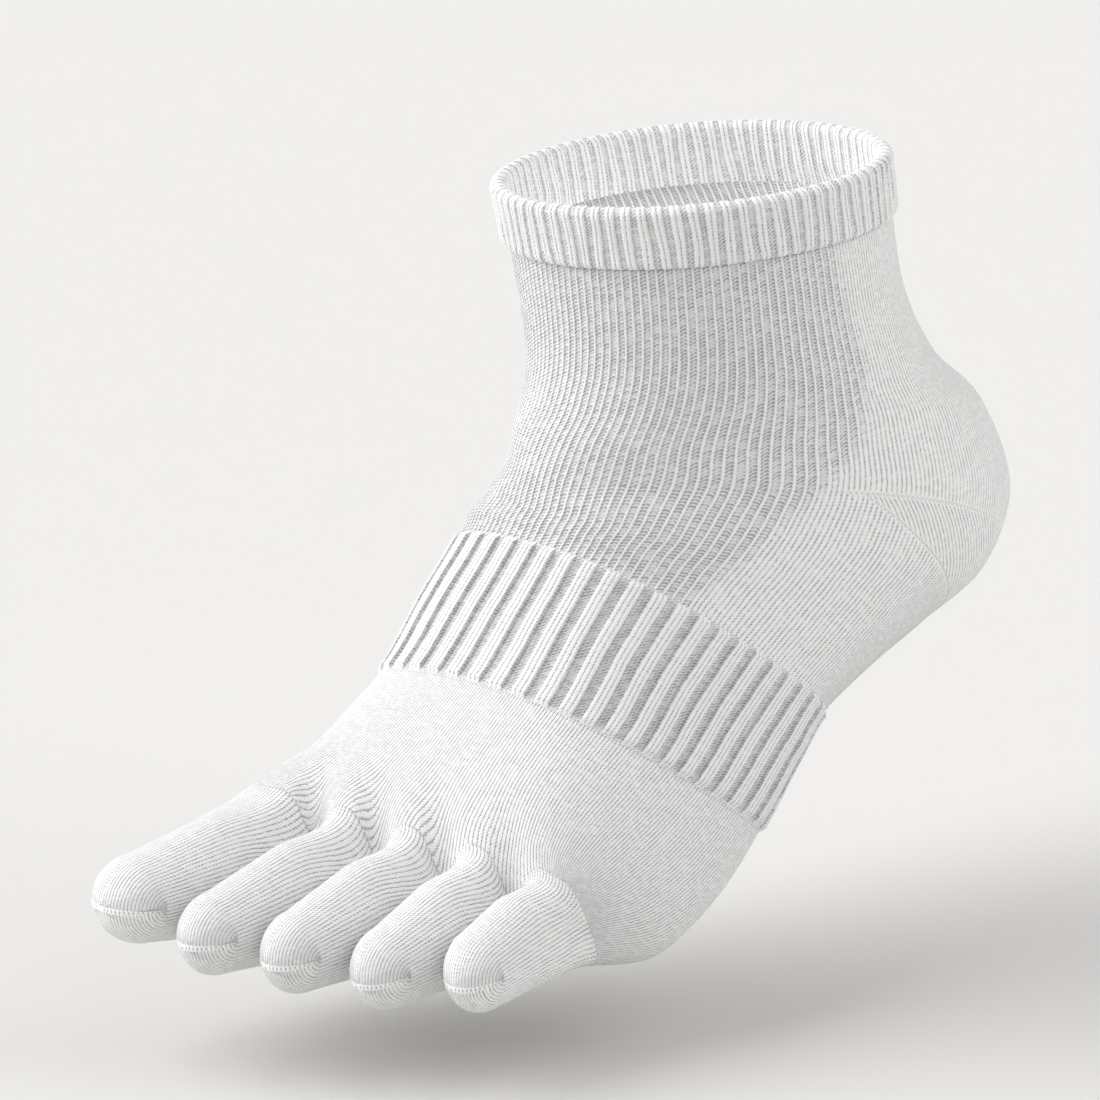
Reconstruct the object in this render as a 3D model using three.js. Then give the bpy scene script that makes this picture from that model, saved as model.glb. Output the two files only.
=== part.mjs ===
// Five-toe ankle sock for the left foot, in the shape it has when worn.
// Millimetres, +Z up. The origin is the centre of the ankle opening. The toes point to -Y, the little toe is at +X.
import * as THREE from 'three';

// Driving dimensions
const OPENING_WIDTH = 75;
const OPENING_DEPTH = 90;
const LEG_HEIGHT = 54;
const FOOT_LENGTH = 238;
const FOOT_WIDTH = 82;
const FOOT_DROP = 112;
const KNIT_WALL = 1.4;
const PIECE_GAP = 0.3;

// Cuff: a doubled band with raised ribs and a rolled rim
const CUFF_WALL = 3.5;
const CUFF_STEP = 1.5;
const CUFF_TUCK = 1;
const CUFF_RIBS = 76;
const CUFF_RIB_HEIGHT = 0.5;

// Arch band: raised ribs round the middle of the foot
const BAND_RIBS = 46;
const BAND_RIB_HEIGHT = 1.0;
const BAND_RIB_SHARE = 0.58;

// Toes: the tubes split off where four furrows start between them
const FURROW_DEPTH = 9;
const FURROW_WIDTH = 9;
const TOE_ROUNDING = 0.7;
const TOE_GAP = 0.45;

// Steps round each tube and along it
const ROUND_STEPS = 36;
const TOE_ARC_STEPS = 6;
const TOE_WEB_STEPS = 3;
const TOE_LENGTH_STEPS = 5;
const DOME_STEPS = 3;

// Sections of the leg. front and back are shares of OPENING_DEPTH ahead of and behind the origin, frontDrop and
// backDrop are shares of LEG_HEIGHT below it, half is a share of OPENING_WIDTH.
const LEG_ROWS = [
  { front: 0.495, back: 0.505, frontDrop: 0.045, backDrop: -0.065, half: 0.5 },
  { front: 0.46, back: 0.54, frontDrop: 0.3, backDrop: 0.2, half: 0.49 },
  { front: 0.425, back: 0.605, frontDrop: 0.65, backDrop: 0.545, half: 0.465 },
  { front: 0.44, back: 0.735, frontDrop: 0.85, backDrop: 0.87, half: 0.455, sag: 0.01 },
];

// Sections of the foot. front and back are shares of FOOT_LENGTH, frontDrop and backDrop are shares of FOOT_DROP below
// the leg, half, shift, lean, and roll are shares of FOOT_WIDTH, sag is a share of FOOT_DROP. yaw turns a section
// about the vertical in degrees, square and belly are pure shape numbers.
const FOOT_ROWS = [
  { front: 0.184, back: 0.35, frontDrop: 0.0, backDrop: 0.065, half: 0.41, sag: 0.02 },
  { front: 0.193, back: 0.397, frontDrop: 0.055, backDrop: 0.27, half: 0.41, sag: 0.027 },
  { front: 0.197, back: 0.35, frontDrop: 0.09, backDrop: 0.433, half: 0.402, sag: 0.027, yaw: 2, square: 0.02 },
  { front: 0.2, back: 0.252, frontDrop: 0.12, backDrop: 0.513, half: 0.402, sag: 0.018, yaw: 4, square: 0.03, belly: 0.02 },
  { front: 0.204, back: 0.163, frontDrop: 0.147, backDrop: 0.57, half: 0.402, sag: 0.01, lean: 0.01, yaw: 6, square: 0.04, belly: 0.04 },
  { front: 0.208, back: 0.082, frontDrop: 0.18, backDrop: 0.63, half: 0.402, shift: 0.012, lean: 0.024, yaw: 8, square: 0.04, belly: 0.06 },
  { front: 0.24, back: 0.017, frontDrop: 0.295, backDrop: 0.685, half: 0.427, shift: 0.024, lean: 0.037, sag: -0.01, yaw: 9, square: 0.05, belly: 0.08 },
  { front: 0.273, back: -0.05, frontDrop: 0.41, backDrop: 0.762, half: 0.457, shift: 0.043, lean: 0.05, sag: -0.018, yaw: 10, square: 0.05, belly: 0.09 },
  { front: 0.303, back: -0.13, frontDrop: 0.482, backDrop: 0.846, half: 0.48, shift: 0.06, lean: 0.06, sag: -0.018, yaw: 12, square: 0.06, belly: 0.1 },
  { front: 0.328, back: -0.202, frontDrop: 0.55, backDrop: 0.91, half: 0.492, shift: 0.067, lean: 0.06, sag: -0.01, yaw: 15, square: 0.07, belly: 0.1, roll: 0.01 },
  { front: 0.349, back: -0.262, frontDrop: 0.615, backDrop: 0.95, half: 0.5, shift: 0.058, lean: 0.045, yaw: 19, square: 0.09, belly: 0.06, roll: 0.035 },
  { front: 0.362, back: -0.32, frontDrop: 0.67, backDrop: 0.94, half: 0.492, shift: 0.042, lean: 0.005, yaw: 22, square: 0.11, roll: 0.06 },
];

// Where the zones of knit begin and end, counted in rows from the rim
const CUFF_END = 1;
const GUSSET_TOP = 5.1;
const GUSSET_DIP = 0.5;
const GUSSET_RISE = 1.5;
const GUSSET_POINT = 88;
const GUSSET_LEVEL = 80;
const BAND_START = 9;
const BAND_END = 11.2;
const TOE_ROOTS = 15;

// Furrows between the toes, as shares of the half width across the top and across the sole
const FURROWS = [
  { top: -0.5, sole: -0.5 },
  { top: -0.12, sole: -0.12 },
  { top: 0.27, sole: 0.27 },
  { top: 0.67, sole: 0.67 },
];

// Toes. across is a share of FOOT_WIDTH, reach is a share of FOOT_LENGTH ahead of the origin and drop a share of
// FOOT_DROP below the leg, for the centre of the rounded tip. wide is its full width as a share of FOOT_WIDTH, high
// its full height as a share of FOOT_DROP and dome the length of the rounding as a share of FOOT_LENGTH.
const TOES = [
  { name: 'big_toe', across: -0.308, reach: 0.552, drop: 0.793, wide: 0.237, high: 0.171, dome: 0.042 },
  { name: 'second_toe', across: -0.093, reach: 0.523, drop: 0.833, wide: 0.174, high: 0.161, dome: 0.039 },
  { name: 'third_toe', across: 0.089, reach: 0.481, drop: 0.853, wide: 0.172, high: 0.161, dome: 0.039 },
  { name: 'fourth_toe', across: 0.27, reach: 0.432, drop: 0.873, wide: 0.171, high: 0.161, dome: 0.039 },
  { name: 'little_toe', across: 0.451, reach: 0.381, drop: 0.866, wide: 0.178, high: 0.161, dome: 0.039 },
];

const WHITE = new THREE.Color(0.9, 0.9, 0.9);
const radians = THREE.MathUtils.degToRad;
const smooth = (x) => THREE.MathUtils.smoothstep(x, 0, 1);

/** Turns the two tables of shares into rows of millimetres. */
function sections() {
  const leg = LEG_ROWS.map((row) => ({
    front: -row.front * OPENING_DEPTH,
    back: row.back * OPENING_DEPTH,
    frontZ: -row.frontDrop * LEG_HEIGHT,
    backZ: -row.backDrop * LEG_HEIGHT,
    half: row.half * OPENING_WIDTH,
    shift: 0,
    lean: 0,
    roll: 0,
    sag: (row.sag ?? 0) * FOOT_DROP,
    yaw: 0,
    square: 0,
    belly: 0,
  }));
  const foot = FOOT_ROWS.map((row) => ({
    front: -row.front * FOOT_LENGTH,
    back: row.back * FOOT_LENGTH,
    frontZ: -LEG_HEIGHT - row.frontDrop * FOOT_DROP,
    backZ: -LEG_HEIGHT - row.backDrop * FOOT_DROP,
    half: row.half * FOOT_WIDTH,
    shift: (row.shift ?? 0) * FOOT_WIDTH,
    lean: (row.lean ?? 0) * FOOT_WIDTH,
    roll: (row.roll ?? 0) * FOOT_WIDTH,
    sag: (row.sag ?? 0) * FOOT_DROP,
    yaw: radians(row.yaw ?? 0),
    square: row.square ?? 0,
    belly: row.belly ?? 0,
  }));
  return [...leg, ...foot];
}

const ROWS = sections();

/** The row at a fractional place s, on a smooth curve through the rows. */
function rowAt(s) {
  const last = ROWS.length - 1;
  const i = Math.min(Math.max(Math.floor(s), 0), last - 1);
  const t = s - i;
  const row = {};
  for (const key of Object.keys(ROWS[0])) {
    const b = ROWS[i][key];
    const c = ROWS[i + 1][key];
    const a = i > 0 ? ROWS[i - 1][key] : 2 * b - c;
    const d = i < last - 1 ? ROWS[i + 2][key] : 2 * c - b;
    row[key] = 0.5 * (2 * b + (c - a) * t + (2 * a - 5 * b + 4 * c - d) * t * t + (3 * b - a - 3 * c + d) * t * t * t);
  }
  return row;
}

/** Height share (1 at the top of the foot) and width share (1 at the little-toe side) at an angle round a section. */
function roundShares(square, angle) {
  return {
    rise: (Math.cos(angle) - square * Math.cos(3 * angle)) / (1 - square),
    wide: (Math.sin(angle) + square * Math.sin(3 * angle)) / (1 - square),
  };
}

/** Depth of the furrows between the toes, which start a short way up the foot and run out into the gaps. */
function furrowDepth(s, row, rise, wide) {
  const start = smooth((s - TOE_ROOTS + 2.2) / 2.2);
  let depth = 0;
  for (const furrow of FURROWS) {
    const place = rise > 0 ? furrow.top : furrow.sole;
    const away = ((wide - place) * row.half) / FURROW_WIDTH;
    depth += Math.exp(-4 * away * away);
  }
  return FURROW_DEPTH * start * start * Math.min(depth, 1) * Math.min(Math.abs(rise) * 1.6, 1) * Math.sign(rise);
}

/** The outside of the tube of knit at row s and angle round it: 0 is the front, a quarter turn the little-toe side. */
function skin(s, angle) {
  const row = rowAt(s);
  const { rise, wide } = roundShares(row.square, angle);
  const across = row.shift + row.half * wide * (1 - row.belly * rise) - row.lean * rise;
  const furrow = furrowDepth(s, row, rise, wide);
  const y = (row.front + row.back) / 2 + ((row.front - row.back) / 2) * rise;
  const z = (row.frontZ + row.backZ) / 2 + ((row.frontZ - row.backZ) / 2) * rise;
  const roll = (row.roll * wide * (1 + rise)) / 2;
  return new THREE.Vector3(
    across * Math.cos(row.yaw),
    y + across * Math.sin(row.yaw),
    z + row.sag * wide * wide - roll - furrow,
  );
}

/** The direction straight out of the skin. */
function outward(s, angle) {
  const d = 0.02;
  const along = skin(s + d, angle).sub(skin(s - d, angle));
  const round = skin(s, angle + d).sub(skin(s, angle - d));
  return along.cross(round).normalize();
}

/** A point a given height above the skin, or below it where the height is negative. */
function above(s, angle, height) {
  return skin(s, angle).addScaledVector(outward(s, angle), height);
}

/** Rows per millimetre along the tube there, which turns half a gap into a step of s. */
function rowsPerMillimetre(s, angle) {
  return 0.1 / skin(s, angle).distanceTo(skin(s + 0.1, angle));
}

/** Lower edge of the leg: nearly level in front and dipping towards the back of the heel. */
function gussetTop(angle) {
  const turn = Math.abs(((THREE.MathUtils.radToDeg(angle) + 540) % 360) - 180);
  return GUSSET_TOP + GUSSET_DIP * smooth((turn - GUSSET_LEVEL) / (180 - GUSSET_LEVEL));
}

/** Lower edge of the gusset: it leaves the upper edge at a point on each side and is widest at the back. */
function gussetEnd(angle) {
  const turn = Math.abs(((THREE.MathUtils.radToDeg(angle) + 540) % 360) - 180);
  const share = Math.max((turn - GUSSET_POINT) / (180 - GUSSET_POINT), 0);
  return gussetTop(angle) + GUSSET_RISE * Math.sin((Math.PI / 2) * share ** 0.8);
}

/** Closes a list of rings of points into one mesh. Without poles the last ring joins the first one. */
function loft(rings, poles) {
  const count = rings[0].length;
  const points = rings.flat();
  const faces = [];
  const at = (i, j) => (i % rings.length) * count + (j % count);
  const strips = poles ? rings.length - 1 : rings.length;
  for (let i = 0; i < strips; i += 1) {
    for (let j = 0; j < count; j += 1) {
      faces.push(at(i, j), at(i + 1, j), at(i + 1, j + 1));
      faces.push(at(i, j), at(i + 1, j + 1), at(i, j + 1));
    }
  }
  if (poles) {
    const first = points.length;
    points.push(poles.first, poles.last);
    for (let j = 0; j < count; j += 1) {
      faces.push(first, at(0, j), at(0, j + 1));
      faces.push(first + 1, at(rings.length - 1, j + 1), at(rings.length - 1, j));
    }
  }
  const geometry = new THREE.BufferGeometry();
  geometry.setAttribute('position', new THREE.Float32BufferAttribute(points.flatMap((p) => p.toArray()), 3));
  geometry.setIndex(faces);
  geometry.computeVertexNormals();
  return geometry;
}

/** A ring of points at angles, where place gives the row and height gives the height above the skin. */
function ring(angles, place, height) {
  return angles.map((angle) => above(place(angle), angle, height(angle)));
}

/** Evenly spaced angles round the tube. */
function turns(count) {
  return Array.from({ length: count }, (_, k) => (2 * Math.PI * k) / count);
}

/** Gives the angle at each share of the way round a section, measured along the skin. */
function anglesByLength(s) {
  const steps = 360;
  const lengths = [0];
  for (let k = 1; k <= steps; k += 1) {
    const step = skin(s, (2 * Math.PI * k) / steps).distanceTo(skin(s, (2 * Math.PI * (k - 1)) / steps));
    lengths.push(lengths[k - 1] + step);
  }
  return (share) => {
    const target = share * lengths[steps];
    const k = lengths.findIndex((length, i) => i > 0 && length >= target);
    const part = (target - lengths[k - 1]) / (lengths[k] - lengths[k - 1]);
    return (2 * Math.PI * (k - 1 + part)) / steps;
  };
}

/** A closed tube of knit between two edges, with half a gap left at each edge that meets a neighbour. */
function tube({ angles, start, end, gapStart, gapEnd, steps, ease, outer, wall }) {
  const half = PIECE_GAP / 2;
  const edge = (share) => (angle) => {
    const top = start(angle);
    const bottom = end(angle);
    const from = top + (gapStart ? half * rowsPerMillimetre(top, angle) : 0);
    const to = bottom - (gapEnd ? half * rowsPerMillimetre(bottom - 0.1, angle) : 0);
    return from + (to - from) * share ** (ease ?? 1);
  };
  const rings = [];
  for (let i = 0; i <= steps; i += 1) {
    rings.push(ring(angles, edge(i / steps), outer));
  }
  for (let i = steps; i >= 0; i -= 1) {
    rings.push(ring(angles, edge(i / steps), () => -wall));
  }
  return loft(rings);
}

/** The ribbed cuff. Its outside stands proud of the leg and its rim rolls over into the doubled inside. */
function cuff() {
  const angles = turns(2 * CUFF_RIBS);
  const rib = (angle) => (CUFF_RIB_HEIGHT / 2) * Math.cos(CUFF_RIBS * angle);
  const lower = CUFF_END;
  const roll = CUFF_WALL / 2;
  const middle = CUFF_STEP - roll;
  const inside = CUFF_STEP - CUFF_WALL;
  const perRow = rowsPerMillimetre(0, 0);
  const rings = [];
  const profile = [
    { s: roll * perRow, height: CUFF_STEP, ribbed: 1 },
    { s: lower - CUFF_TUCK * perRow, height: CUFF_STEP, ribbed: 1 },
    { s: lower - (PIECE_GAP / 2) * perRow, height: CUFF_STEP - CUFF_TUCK, ribbed: 0.4 },
    { s: lower - (PIECE_GAP / 2) * perRow, height: inside, ribbed: 0 },
    { s: roll * perRow, height: inside, ribbed: -0.6 },
    { s: 0, height: middle, ribbed: 0 },
    { s: 0.3 * roll * perRow, height: middle + 0.72 * roll, ribbed: 0.5 },
  ];
  for (const { s, height, ribbed } of profile) {
    rings.push(ring(angles, () => s, (angle) => height + ribbed * rib(angle)));
  }
  return loft(rings);
}

/** The finely ribbed leg, from the cuff to the ankle and down over the top of the heel. */
function leg() {
  return tube({
    angles: turns(ROUND_STEPS),
    start: () => CUFF_END,
    end: gussetTop,
    gapStart: true,
    gapEnd: true,
    steps: 6,
    outer: () => 0,
    wall: KNIT_WALL,
  });
}

/** The wedge of turned rows round the back of the heel, pointed at the two sides. */
function heelGusset() {
  const first = radians(GUSSET_POINT + 4);
  const last = 2 * Math.PI - first;
  const steps = 20;
  const rings = [];
  for (let k = 0; k <= steps; k += 1) {
    const angle = last + (first - last) * (k / steps);
    const top = gussetTop(angle);
    const bottom = gussetEnd(angle);
    const from = top + (PIECE_GAP / 2) * rowsPerMillimetre(top, angle);
    const to = bottom - (PIECE_GAP / 2) * rowsPerMillimetre(bottom, angle);
    const shares = [0, 1 / 3, 2 / 3, 1];
    const outside = shares.map((share) => above(from + (to - from) * share, angle, 0));
    const inside = shares.map((share) => above(from + (to - from) * share, angle, -KNIT_WALL)).reverse();
    rings.push([...outside, ...inside]);
  }
  const middle = (points) => points.reduce((sum, p) => sum.add(p), new THREE.Vector3()).divideScalar(points.length);
  return loft(rings, { first: middle(rings[0]), last: middle(rings[steps]) });
}

/** The tube from the ankle and the underside of the heel to the arch band. */
function instep() {
  return tube({
    angles: turns(ROUND_STEPS),
    start: gussetEnd,
    end: () => BAND_START,
    gapStart: true,
    gapEnd: true,
    steps: 6,
    outer: () => 0,
    wall: KNIT_WALL,
  });
}

/** The arch band: raised ribs that run along the foot, with flat grooves between them. */
function archBand() {
  const flank = 0.1;
  const corners = [
    { share: -BAND_RIB_SHARE / 2 - flank / 2, height: 0 },
    { share: -BAND_RIB_SHARE / 2 + flank / 2, height: BAND_RIB_HEIGHT },
    { share: BAND_RIB_SHARE / 2 - flank / 2, height: BAND_RIB_HEIGHT },
    { share: BAND_RIB_SHARE / 2 + flank / 2, height: 0 },
  ];
  const angleAt = anglesByLength((BAND_START + BAND_END) / 2);
  const angles = [];
  const heights = new Map();
  for (let k = 0; k < BAND_RIBS; k += 1) {
    for (const corner of corners) {
      const angle = angleAt((k + 0.5 + corner.share) / BAND_RIBS);
      angles.push(angle);
      heights.set(angle, corner.height);
    }
  }
  return tube({
    angles,
    start: () => BAND_START,
    end: () => BAND_END,
    gapStart: true,
    gapEnd: true,
    steps: 2,
    outer: (angle) => heights.get(angle),
    wall: KNIT_WALL,
  });
}

/** Angles round the forefoot's end: each toe has its own steps between its two furrows. */
function rootAngles() {
  const tops = FURROWS.map((furrow) => angleAcross(furrow.top, true));
  const soles = FURROWS.map((furrow) => angleAcross(furrow.sole, false));
  const marks = [...tops, ...soles.reverse(), tops[0] + 2 * Math.PI];
  const angles = [];
  for (let k = 0; k + 1 < marks.length; k += 1) {
    const end = k === FURROWS.length - 1 || k === marks.length - 2;
    const steps = end ? 2 * TOE_ARC_STEPS + TOE_WEB_STEPS : TOE_ARC_STEPS;
    for (let i = 0; i < steps; i += 1) {
      angles.push(marks[k] + ((marks[k + 1] - marks[k]) * i) / steps);
    }
  }
  return angles;
}

/** The smooth tube round the ball of the foot, with furrows that open into the gaps between the toes. */
function forefoot() {
  return tube({
    angles: rootAngles(),
    start: () => BAND_END,
    end: () => TOE_ROOTS,
    gapStart: true,
    gapEnd: true,
    steps: 6,
    ease: 0.65,
    outer: () => 0,
    wall: KNIT_WALL,
  });
}

/** The angle at which a section reaches a width share, on its top or on its sole. */
function angleAcross(share, onTop) {
  const { square } = rowAt(TOE_ROOTS);
  let low = onTop ? -Math.PI / 2 : Math.PI / 2;
  let high = low + Math.PI;
  const rising = onTop ? 1 : -1;
  for (let k = 0; k < 40; k += 1) {
    const angle = (low + high) / 2;
    if ((roundShares(square, angle).wide - share) * rising < 0) {
      low = angle;
    } else {
      high = angle;
    }
  }
  return (low + high) / 2;
}

/** The loop of points where toe k leaves the forefoot: over the top, down one side, back along the sole and up. */
function toeRoot(k) {
  const arc = (from, to, steps) =>
    Array.from({ length: steps + 1 }, (_, i) => skin(TOE_ROOTS, from + ((to - from) * i) / steps));
  const web = (from, to, steps) =>
    Array.from({ length: steps - 1 }, (_, i) => from.clone().lerp(to, (i + 1) / steps));
  const near = FURROWS[k];
  const far = FURROWS[k - 1];
  const topNear = near ? angleAcross(near.top, true) : null;
  const topFar = far ? angleAcross(far.top, true) : null;
  const soleNear = near ? angleAcross(near.sole, false) : null;
  const soleFar = far ? angleAcross(far.sole, false) : null;
  const wide = 2 * TOE_ARC_STEPS + TOE_WEB_STEPS;
  if (!far) {
    const around = arc(soleNear - 2 * Math.PI, topNear, wide);
    return [...around, ...web(around[wide], around[0], TOE_WEB_STEPS)];
  }
  if (!near) {
    const around = arc(topFar, soleFar, wide);
    return [...around, ...web(around[wide], around[0], TOE_WEB_STEPS)];
  }
  const top = arc(topFar, topNear, TOE_ARC_STEPS);
  const sole = arc(soleNear, soleFar, TOE_ARC_STEPS);
  return [
    ...top,
    ...web(top[TOE_ARC_STEPS], sole[0], TOE_WEB_STEPS),
    ...sole,
    ...web(sole[TOE_ARC_STEPS], top[0], TOE_WEB_STEPS),
  ];
}

/** One toe: its tube leaves the forefoot's end with that opening's shape and tapers to a rounded tip. */
function toe(k) {
  const spec = TOES[k];
  const row = rowAt(TOE_ROOTS);
  const sideRoot = new THREE.Vector3(Math.cos(row.yaw), Math.sin(row.yaw), 0);
  const upRoot = new THREE.Vector3(0, row.front - row.back, row.frontZ - row.backZ)
    .addScaledVector(sideRoot, -2 * row.lean)
    .normalize();
  const leave = sideRoot.clone().cross(upRoot).normalize();
  const basis = new THREE.Matrix4().makeBasis(sideRoot, upRoot, leave);
  const inverse = basis.clone().invert();
  const places = toeRoot(k).map((p) => p.applyMatrix4(inverse));
  const box = new THREE.Box3().setFromPoints(places);
  const halfSide = (box.max.x - box.min.x) / 2;
  const halfUp = (box.max.y - box.min.y) / 2;
  const middle = box.getCenter(new THREE.Vector3());
  places.forEach((place) => place.sub(middle));
  const centre = middle.clone().applyMatrix4(basis);
  const angles = places.map((place) => Math.atan2(place.x / halfSide, place.y / halfUp));
  const tip = new THREE.Vector3(
    spec.across * FOOT_WIDTH,
    -spec.reach * FOOT_LENGTH,
    -LEG_HEIGHT - spec.drop * FOOT_DROP,
  );
  const tipWide = spec.wide * FOOT_WIDTH;
  const tipHigh = spec.high * FOOT_DROP;
  const dome = spec.dome * FOOT_LENGTH;
  const forward = tip.clone().sub(centre).normalize();
  const sideTip = new THREE.Vector3(1, 0, 0);
  const upTip = forward.clone().cross(sideTip).normalize();
  const ringAt = (t, shrink, ahead) => {
    const heart = centre.clone().lerp(tip, t).addScaledVector(leave, TOE_GAP * (1 - t));
    heart.addScaledVector(forward, ahead);
    const side = sideRoot.clone().lerp(sideTip, t).normalize();
    const up = upRoot.clone().lerp(upTip, t).normalize();
    const spread = THREE.MathUtils.lerp(halfSide * sideRoot.x - TOE_GAP / 2, tipWide / 2, t);
    const halfWide = (spread * shrink) / side.x;
    const halfHigh = THREE.MathUtils.lerp(halfUp, tipHigh / 2, t) * shrink;
    const squeeze = new THREE.Vector3(halfWide / halfSide, halfHigh / halfUp, halfHigh / halfUp);
    return places.map((place, j) => {
      const square = place.clone().multiply(squeeze).applyMatrix4(basis);
      const round = side.clone().multiplyScalar(Math.sin(angles[j]) * halfWide);
      round.addScaledVector(up, Math.cos(angles[j]) * halfHigh);
      return square.lerp(round, smooth(t / TOE_ROUNDING)).add(heart);
    });
  };
  const rings = [];
  for (let i = 0; i <= TOE_LENGTH_STEPS; i += 1) {
    rings.push(ringAt(i / TOE_LENGTH_STEPS, 1, 0));
  }
  for (let i = 1; i <= DOME_STEPS; i += 1) {
    const lift = (Math.PI / 2) * (i / (DOME_STEPS + 1));
    rings.push(ringAt(1, Math.cos(lift), dome * Math.sin(lift)));
  }
  const inner = rings.map((points, i) =>
    points.map((p, j) => {
      const count = points.length;
      const before = rings[Math.max(i - 1, 0)][j];
      const after = rings[Math.min(i + 1, rings.length - 1)][j];
      const round = points[(j + 1) % count].clone().sub(points[(j + count - 1) % count]);
      const normal = i > 0 ? after.clone().sub(before).cross(round) : leave.clone().cross(round);
      return p.clone().addScaledVector(normal.normalize(), -KNIT_WALL);
    }),
  );
  const end = tip.clone().addScaledVector(forward, dome);
  const endInside = tip.clone().addScaledVector(forward, dome - KNIT_WALL);
  return loft([...inner.reverse(), ...rings], { first: endInside, last: end });
}

/** A named mesh with a material of its own. */
function piece(name, geometry, roughness) {
  const material = new THREE.MeshStandardMaterial({ color: WHITE.clone(), roughness, metalness: 0 });
  const mesh = new THREE.Mesh(geometry, material);
  mesh.name = name;
  return mesh;
}

const sock = new THREE.Group();
sock.add(piece('cuff', cuff(), 0.9));
sock.add(piece('leg', leg(), 0.9));
sock.add(piece('heel_gusset', heelGusset(), 0.95));
sock.add(piece('instep', instep(), 0.95));
sock.add(piece('arch_band', archBand(), 0.9));
sock.add(piece('forefoot', forefoot(), 0.95));
TOES.forEach((spec, k) => sock.add(piece(spec.name, toe(k), 0.95)));

export default sock;
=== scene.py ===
"""A white five-toe ankle sock for the left foot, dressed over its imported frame.

The sock is one tube of knit that bends at the heel and splits into five toes. Its shape is a table of sections. Each
zone of knit is a closed shell of its own with a finish of its own. Sizes are millimetres and shares of named sizes;
they become metres when a mesh is made.

Knit coordinates: a wale is a column of stitches along the tube and a course is a row of stitches round it. The UV map
named "knit" counts wales in u and courses in v, so the stitches follow the cloth.
"""

import logging
import math
from collections.abc import Callable
from dataclasses import dataclass, field
from enum import Enum, IntEnum

import bpy
import numpy as np
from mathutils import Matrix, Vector


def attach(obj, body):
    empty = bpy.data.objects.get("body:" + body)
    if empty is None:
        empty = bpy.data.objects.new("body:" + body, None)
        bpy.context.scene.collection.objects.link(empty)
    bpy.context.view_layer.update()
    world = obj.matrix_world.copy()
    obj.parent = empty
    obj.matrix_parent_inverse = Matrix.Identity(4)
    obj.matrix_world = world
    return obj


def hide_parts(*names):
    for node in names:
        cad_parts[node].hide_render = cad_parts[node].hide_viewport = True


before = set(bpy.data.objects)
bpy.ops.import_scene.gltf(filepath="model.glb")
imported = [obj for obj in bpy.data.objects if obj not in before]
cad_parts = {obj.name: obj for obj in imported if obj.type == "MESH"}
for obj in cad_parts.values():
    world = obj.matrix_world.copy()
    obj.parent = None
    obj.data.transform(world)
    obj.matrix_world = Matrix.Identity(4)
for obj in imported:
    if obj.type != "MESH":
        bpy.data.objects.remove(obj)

log = logging.getLogger("sock")
Array = np.ndarray
Values = Array | float
Socket = bpy.types.NodeSocket
Place = tuple[float, float, float]
Colour = tuple[float, float, float, float]
MM = 0.001


class Slot(Enum):
    """The record's material slots."""

    CUFF = "cuff_knit"
    LEG = "leg_knit"
    HEEL = "heel_knit"
    FOOT = "foot_knit"
    ARCH = "arch_knit"
    TOE = "toe_knit"


class Column(IntEnum):
    """What a section's row holds, in the order of its columns."""

    FRONT = 0
    BACK = 1
    FRONT_Z = 2
    BACK_Z = 3
    HALF = 4
    SHIFT = 5
    LEAN = 6
    ROLL = 7
    SAG = 8
    YAW = 9
    SQUARE = 10
    BELLY = 11


class Wind(IntEnum):
    """What a row of the wales' table holds after its first column."""

    TURN = 1
    SPREAD = 2


def smooth(x: Array) -> Array:
    """Eases from 0 to 1: three squares less two cubes of x, with x held between 0 and 1.

    Args:
        x: Places along the step, 0 at its start and 1 at its end.

    Returns:
        The eased values.
    """
    held = np.clip(x, 0.0, 1.0)
    return held * held * (3.0 - 2.0 * held)


def unit(vectors: Array) -> Array:
    """Scales vectors, which lie along the last axis, to length one."""
    return vectors / np.maximum(np.linalg.norm(vectors, axis=-1, keepdims=True), 1e-12)


def way(points: Array) -> Array:
    """The way along the first axis of points, from 0 at the first, adding up the steps."""
    steps = np.linalg.norm(np.diff(points, axis=0), axis=-1)
    return np.concatenate([np.zeros_like(steps[:1]), np.cumsum(steps, axis=0)])


def between(start: Array, end: Array, count: int, power: float = 1.0) -> Array:
    """Rows from start to end, one ring after another; a power under one puts the last rings closest together."""
    return start + (end - start) * np.linspace(0.0, 1.0, count)[:, None] ** power


def link(name: str, data: bpy.types.ID) -> bpy.types.Object:
    """Makes an object from its data and links it into the scene."""
    made = bpy.data.objects.new(name, data)
    bpy.context.scene.collection.objects.link(made)
    return made


# Sections of the leg: front, back (shares of the opening's depth), front drop, back drop (shares of the leg's height),
# half width (share of the opening's width), sag (share of the foot's drop).
LEG_ROWS = (
    (0.495, 0.505, 0.045, -0.065, 0.5, 0.0),
    (0.46, 0.54, 0.3, 0.2, 0.49, 0.0),
    (0.425, 0.605, 0.65, 0.545, 0.465, 0.0),
    (0.44, 0.735, 0.85, 0.87, 0.455, 0.01),
)

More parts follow.
